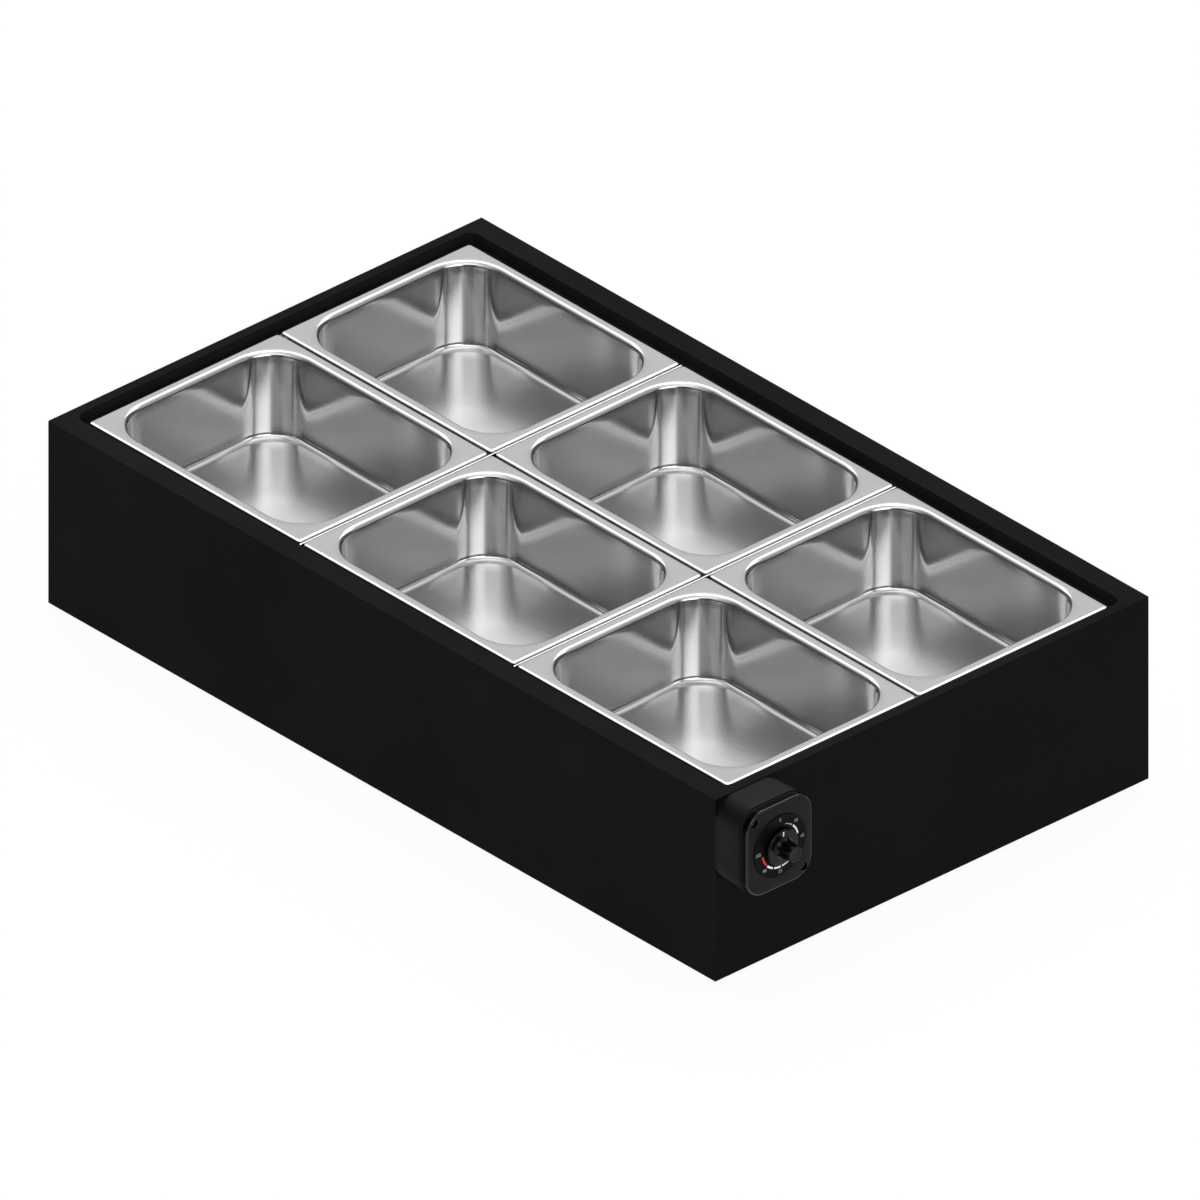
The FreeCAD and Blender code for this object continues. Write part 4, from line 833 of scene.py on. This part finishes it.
floorMesh.materials.append(floorPaint())

camera = {"azimuth": 47.74, "elevation": 31.1, "pixelsPerMetre": 967.66, "picture": 1200,
          "middleX": 598.42, "middleY": 695.08, "distance": 4.0, "farEnd": 50}


# Unit vectors of a view: to the right, ahead and up
def viewAxes(azimuth, elevation):
    a, e = math.radians(azimuth), math.radians(elevation)
    right = Vector((math.cos(a), math.sin(a), 0))
    ahead = Vector((-math.sin(a) * math.cos(e), math.cos(a) * math.cos(e), -math.sin(e)))
    return right, ahead, right.cross(ahead)


def placeCamera():
    right, ahead, upward = viewAxes(camera["azimuth"], camera["elevation"])
    half = camera["picture"] / 2
    sideways = (half - camera["middleX"]) / camera["pixelsPerMetre"]
    raised = (camera["middleY"] - half) / camera["pixelsPerMetre"]
    lens = bpy.data.cameras.new("camera")
    lens.type = "ORTHO"
    lens.ortho_scale = camera["picture"] / camera["pixelsPerMetre"]
    lens.clip_end = camera["farEnd"]
    eye = bpy.data.objects.new("camera", lens)
    eye.location = middle + right * sideways + upward * raised - ahead * camera["distance"]
    eye.rotation_euler = Matrix((right, upward, -ahead)).transposed().to_euler()
    bpy.context.scene.collection.objects.link(eye)
    bpy.context.scene.camera = eye


placeCamera()

# The world's own grey, its strength all round, and what the ceiling adds and the zenith takes, over the
# heights in degrees where that starts and is full. The white below fades out between the sines of height
# given as the horizon.
lights = {"grey": 0.8, "sky": 0.08, "ceiling": 1.2, "ceilingEdge": (43, 52), "zenith": -0.6,
          "zenithEdge": (62, 74), "horizon": (-0.03, -0.01), "lamp": 6, "lampSize": (1.2, 1.8),
          "lampHeight": 2.4}
# Paler patches of the studio: compass angle, height, the angles from their middle at which they start and
# are full, and strength
patches = ((137, 27, 40, 14, 0.8), (137, 54, 19, 14, 4))
# Rings of panels round the studio: the heights over which they start and end, and their strength by
# compass angle, where 0 is +X and 90 is +Y
lowRing = {"start": (2, 10), "end": (30, 33),
           "panels": ((-180, 0.1), (-150, 0.1), (-134, 0.1), (-118, 0.2), (-104, 0.6), (-92, 0.8), (-78, 0.8),
                      (-66, 0.35), (-60, 0.0), (-52, 0.1), (-44, 0.12), (-38, 0.4), (-32, 2.8), (-16, 3.6),
                      (-2, 2.8), (6, 0.6), (12, 0.1), (20, 0.6), (36, 0.6), (48, 0.4), (60, 0.2), (100, 0.1),
                      (160, 0.1), (180, 0.1))}
highRing = {"start": (29.5, 35), "end": (44, 50),
            "panels": ((-180, 3.2), (-162, 2.6), (-144, 0.4), (-115, 0.4), (-92, 0.9), (-74, 2), (-58, 2.7),
                       (-28, 2.7), (-12, 1.8), (5, 0.6), (30, 0.4), (50, 0.5), (66, 2.8), (104, 3.2),
                       (122, 0.2), (150, 0.2), (166, 2.8), (180, 3.2))}


# Value that goes smoothly from first to last while another one goes from low to high
def ramped(tree, value, low, high, first, last):
    return toRange(tree, value, first, last, low, high, "SMOOTHSTEP")


def sines(angles):
    return [math.sin(math.radians(angle)) for angle in angles]


# Strength of a ring of panels by direction
def ringLight(tree, share, height, ring):
    panels = addNode(tree, "ShaderNodeFloatCurve", {"Value": share})
    curve = panels.mapping.curves[0]
    top = max(strength for _, strength in ring["panels"])
    while len(curve.points) < len(ring["panels"]):
        curve.points.new(0.5, 0.5)
    for point, (angle, strength) in zip(curve.points, ring["panels"]):
        point.location = ((angle + 180) / 360, strength / top)
        point.handle_type = "AUTO_CLAMPED"
    panels.mapping.update()
    risen = ramped(tree, height, *sines(ring["start"]), 0, top)
    strength = combined(tree, "MULTIPLY", panels.outputs["Value"], risen)
    return combined(tree, "MULTIPLY", strength, ramped(tree, height, *sines(ring["end"]), 1, 0))


# Strength of a patch, by the cosine of the angle between a direction and the patch's middle
def patchLight(tree, direction, angle, rises, outer, inner, level):
    a, e = math.radians(angle), math.radians(rises)
    towards = (math.cos(a) * math.cos(e), math.sin(a) * math.cos(e), math.sin(e))
    dot = addNode(tree, "ShaderNodeVectorMath", {0: direction, 1: towards}, operation="DOT_PRODUCT")
    edge = [math.cos(math.radians(limit)) for limit in (outer, inner)]
    return ramped(tree, dot.outputs["Value"], *edge, 0, level)


# World: a dim room with a pale ceiling, two paler patches and two rings of panels. Below the horizon,
# where a low view looks past the floor, it shows white.
def worldLight():
    world = bpy.data.worlds.new("studio")
    world.use_nodes = True
    bpy.context.scene.world = world
    tree = world.node_tree
    tree.nodes.clear()
    direction = addNode(tree, "ShaderNodeTexCoord").outputs["Generated"]
    parts = addNode(tree, "ShaderNodeSeparateXYZ", {0: direction}).outputs
    height = parts["Z"]
    turn = combined(tree, "ARCTAN2", parts["Y"], parts["X"])
    share = toRange(tree, turn, 0, 1, -math.pi, math.pi)
    under = ramped(tree, height, *lights["horizon"], 1 / lights["grey"] - lights["sky"], 0)
    terms = [ringLight(tree, share, height, ring) for ring in (lowRing, highRing)]
    for key in ("ceiling", "zenith"):
        terms.append(ramped(tree, height, *sines(lights[key + "Edge"]), 0, lights[key]))
    terms.append(combined(tree, "MULTIPLY", under, seenRay(tree)))
    terms += [patchLight(tree, direction, *patch) for patch in patches]
    strength = terms[0]
    for term in terms[1:] + [lights["sky"]]:
        strength = combined(tree, "ADD", strength, term)
    sky = addNode(tree, "ShaderNodeBackground", {"Color": (*[lights["grey"]] * 3, 1), "Strength": strength})
    addNode(tree, "ShaderNodeOutputWorld", {"Surface": sky.outputs[0]})


worldLight()


# Wide soft lamp, aimed from its place at a point
def softBox(name, power, size, place, aim):
    lamp = bpy.data.lights.new(name, "AREA")
    lamp.shape = "RECTANGLE"
    lamp.size, lamp.size_y = size
    lamp.energy = power
    holder = bpy.data.objects.new(name, lamp)
    holder.location = place
    holder.rotation_euler = (Vector(place) - Vector(aim)).to_track_quat("Z", "Y").to_euler()
    bpy.context.scene.collection.objects.link(holder)


softBox("overhead", lights["lamp"], lights["lampSize"], (middle.x, middle.y, lights["lampHeight"]),
        (middle.x, middle.y, 0))

bpy.context.scene.view_settings.view_transform = "Standard"
print("floor, light and camera are set")
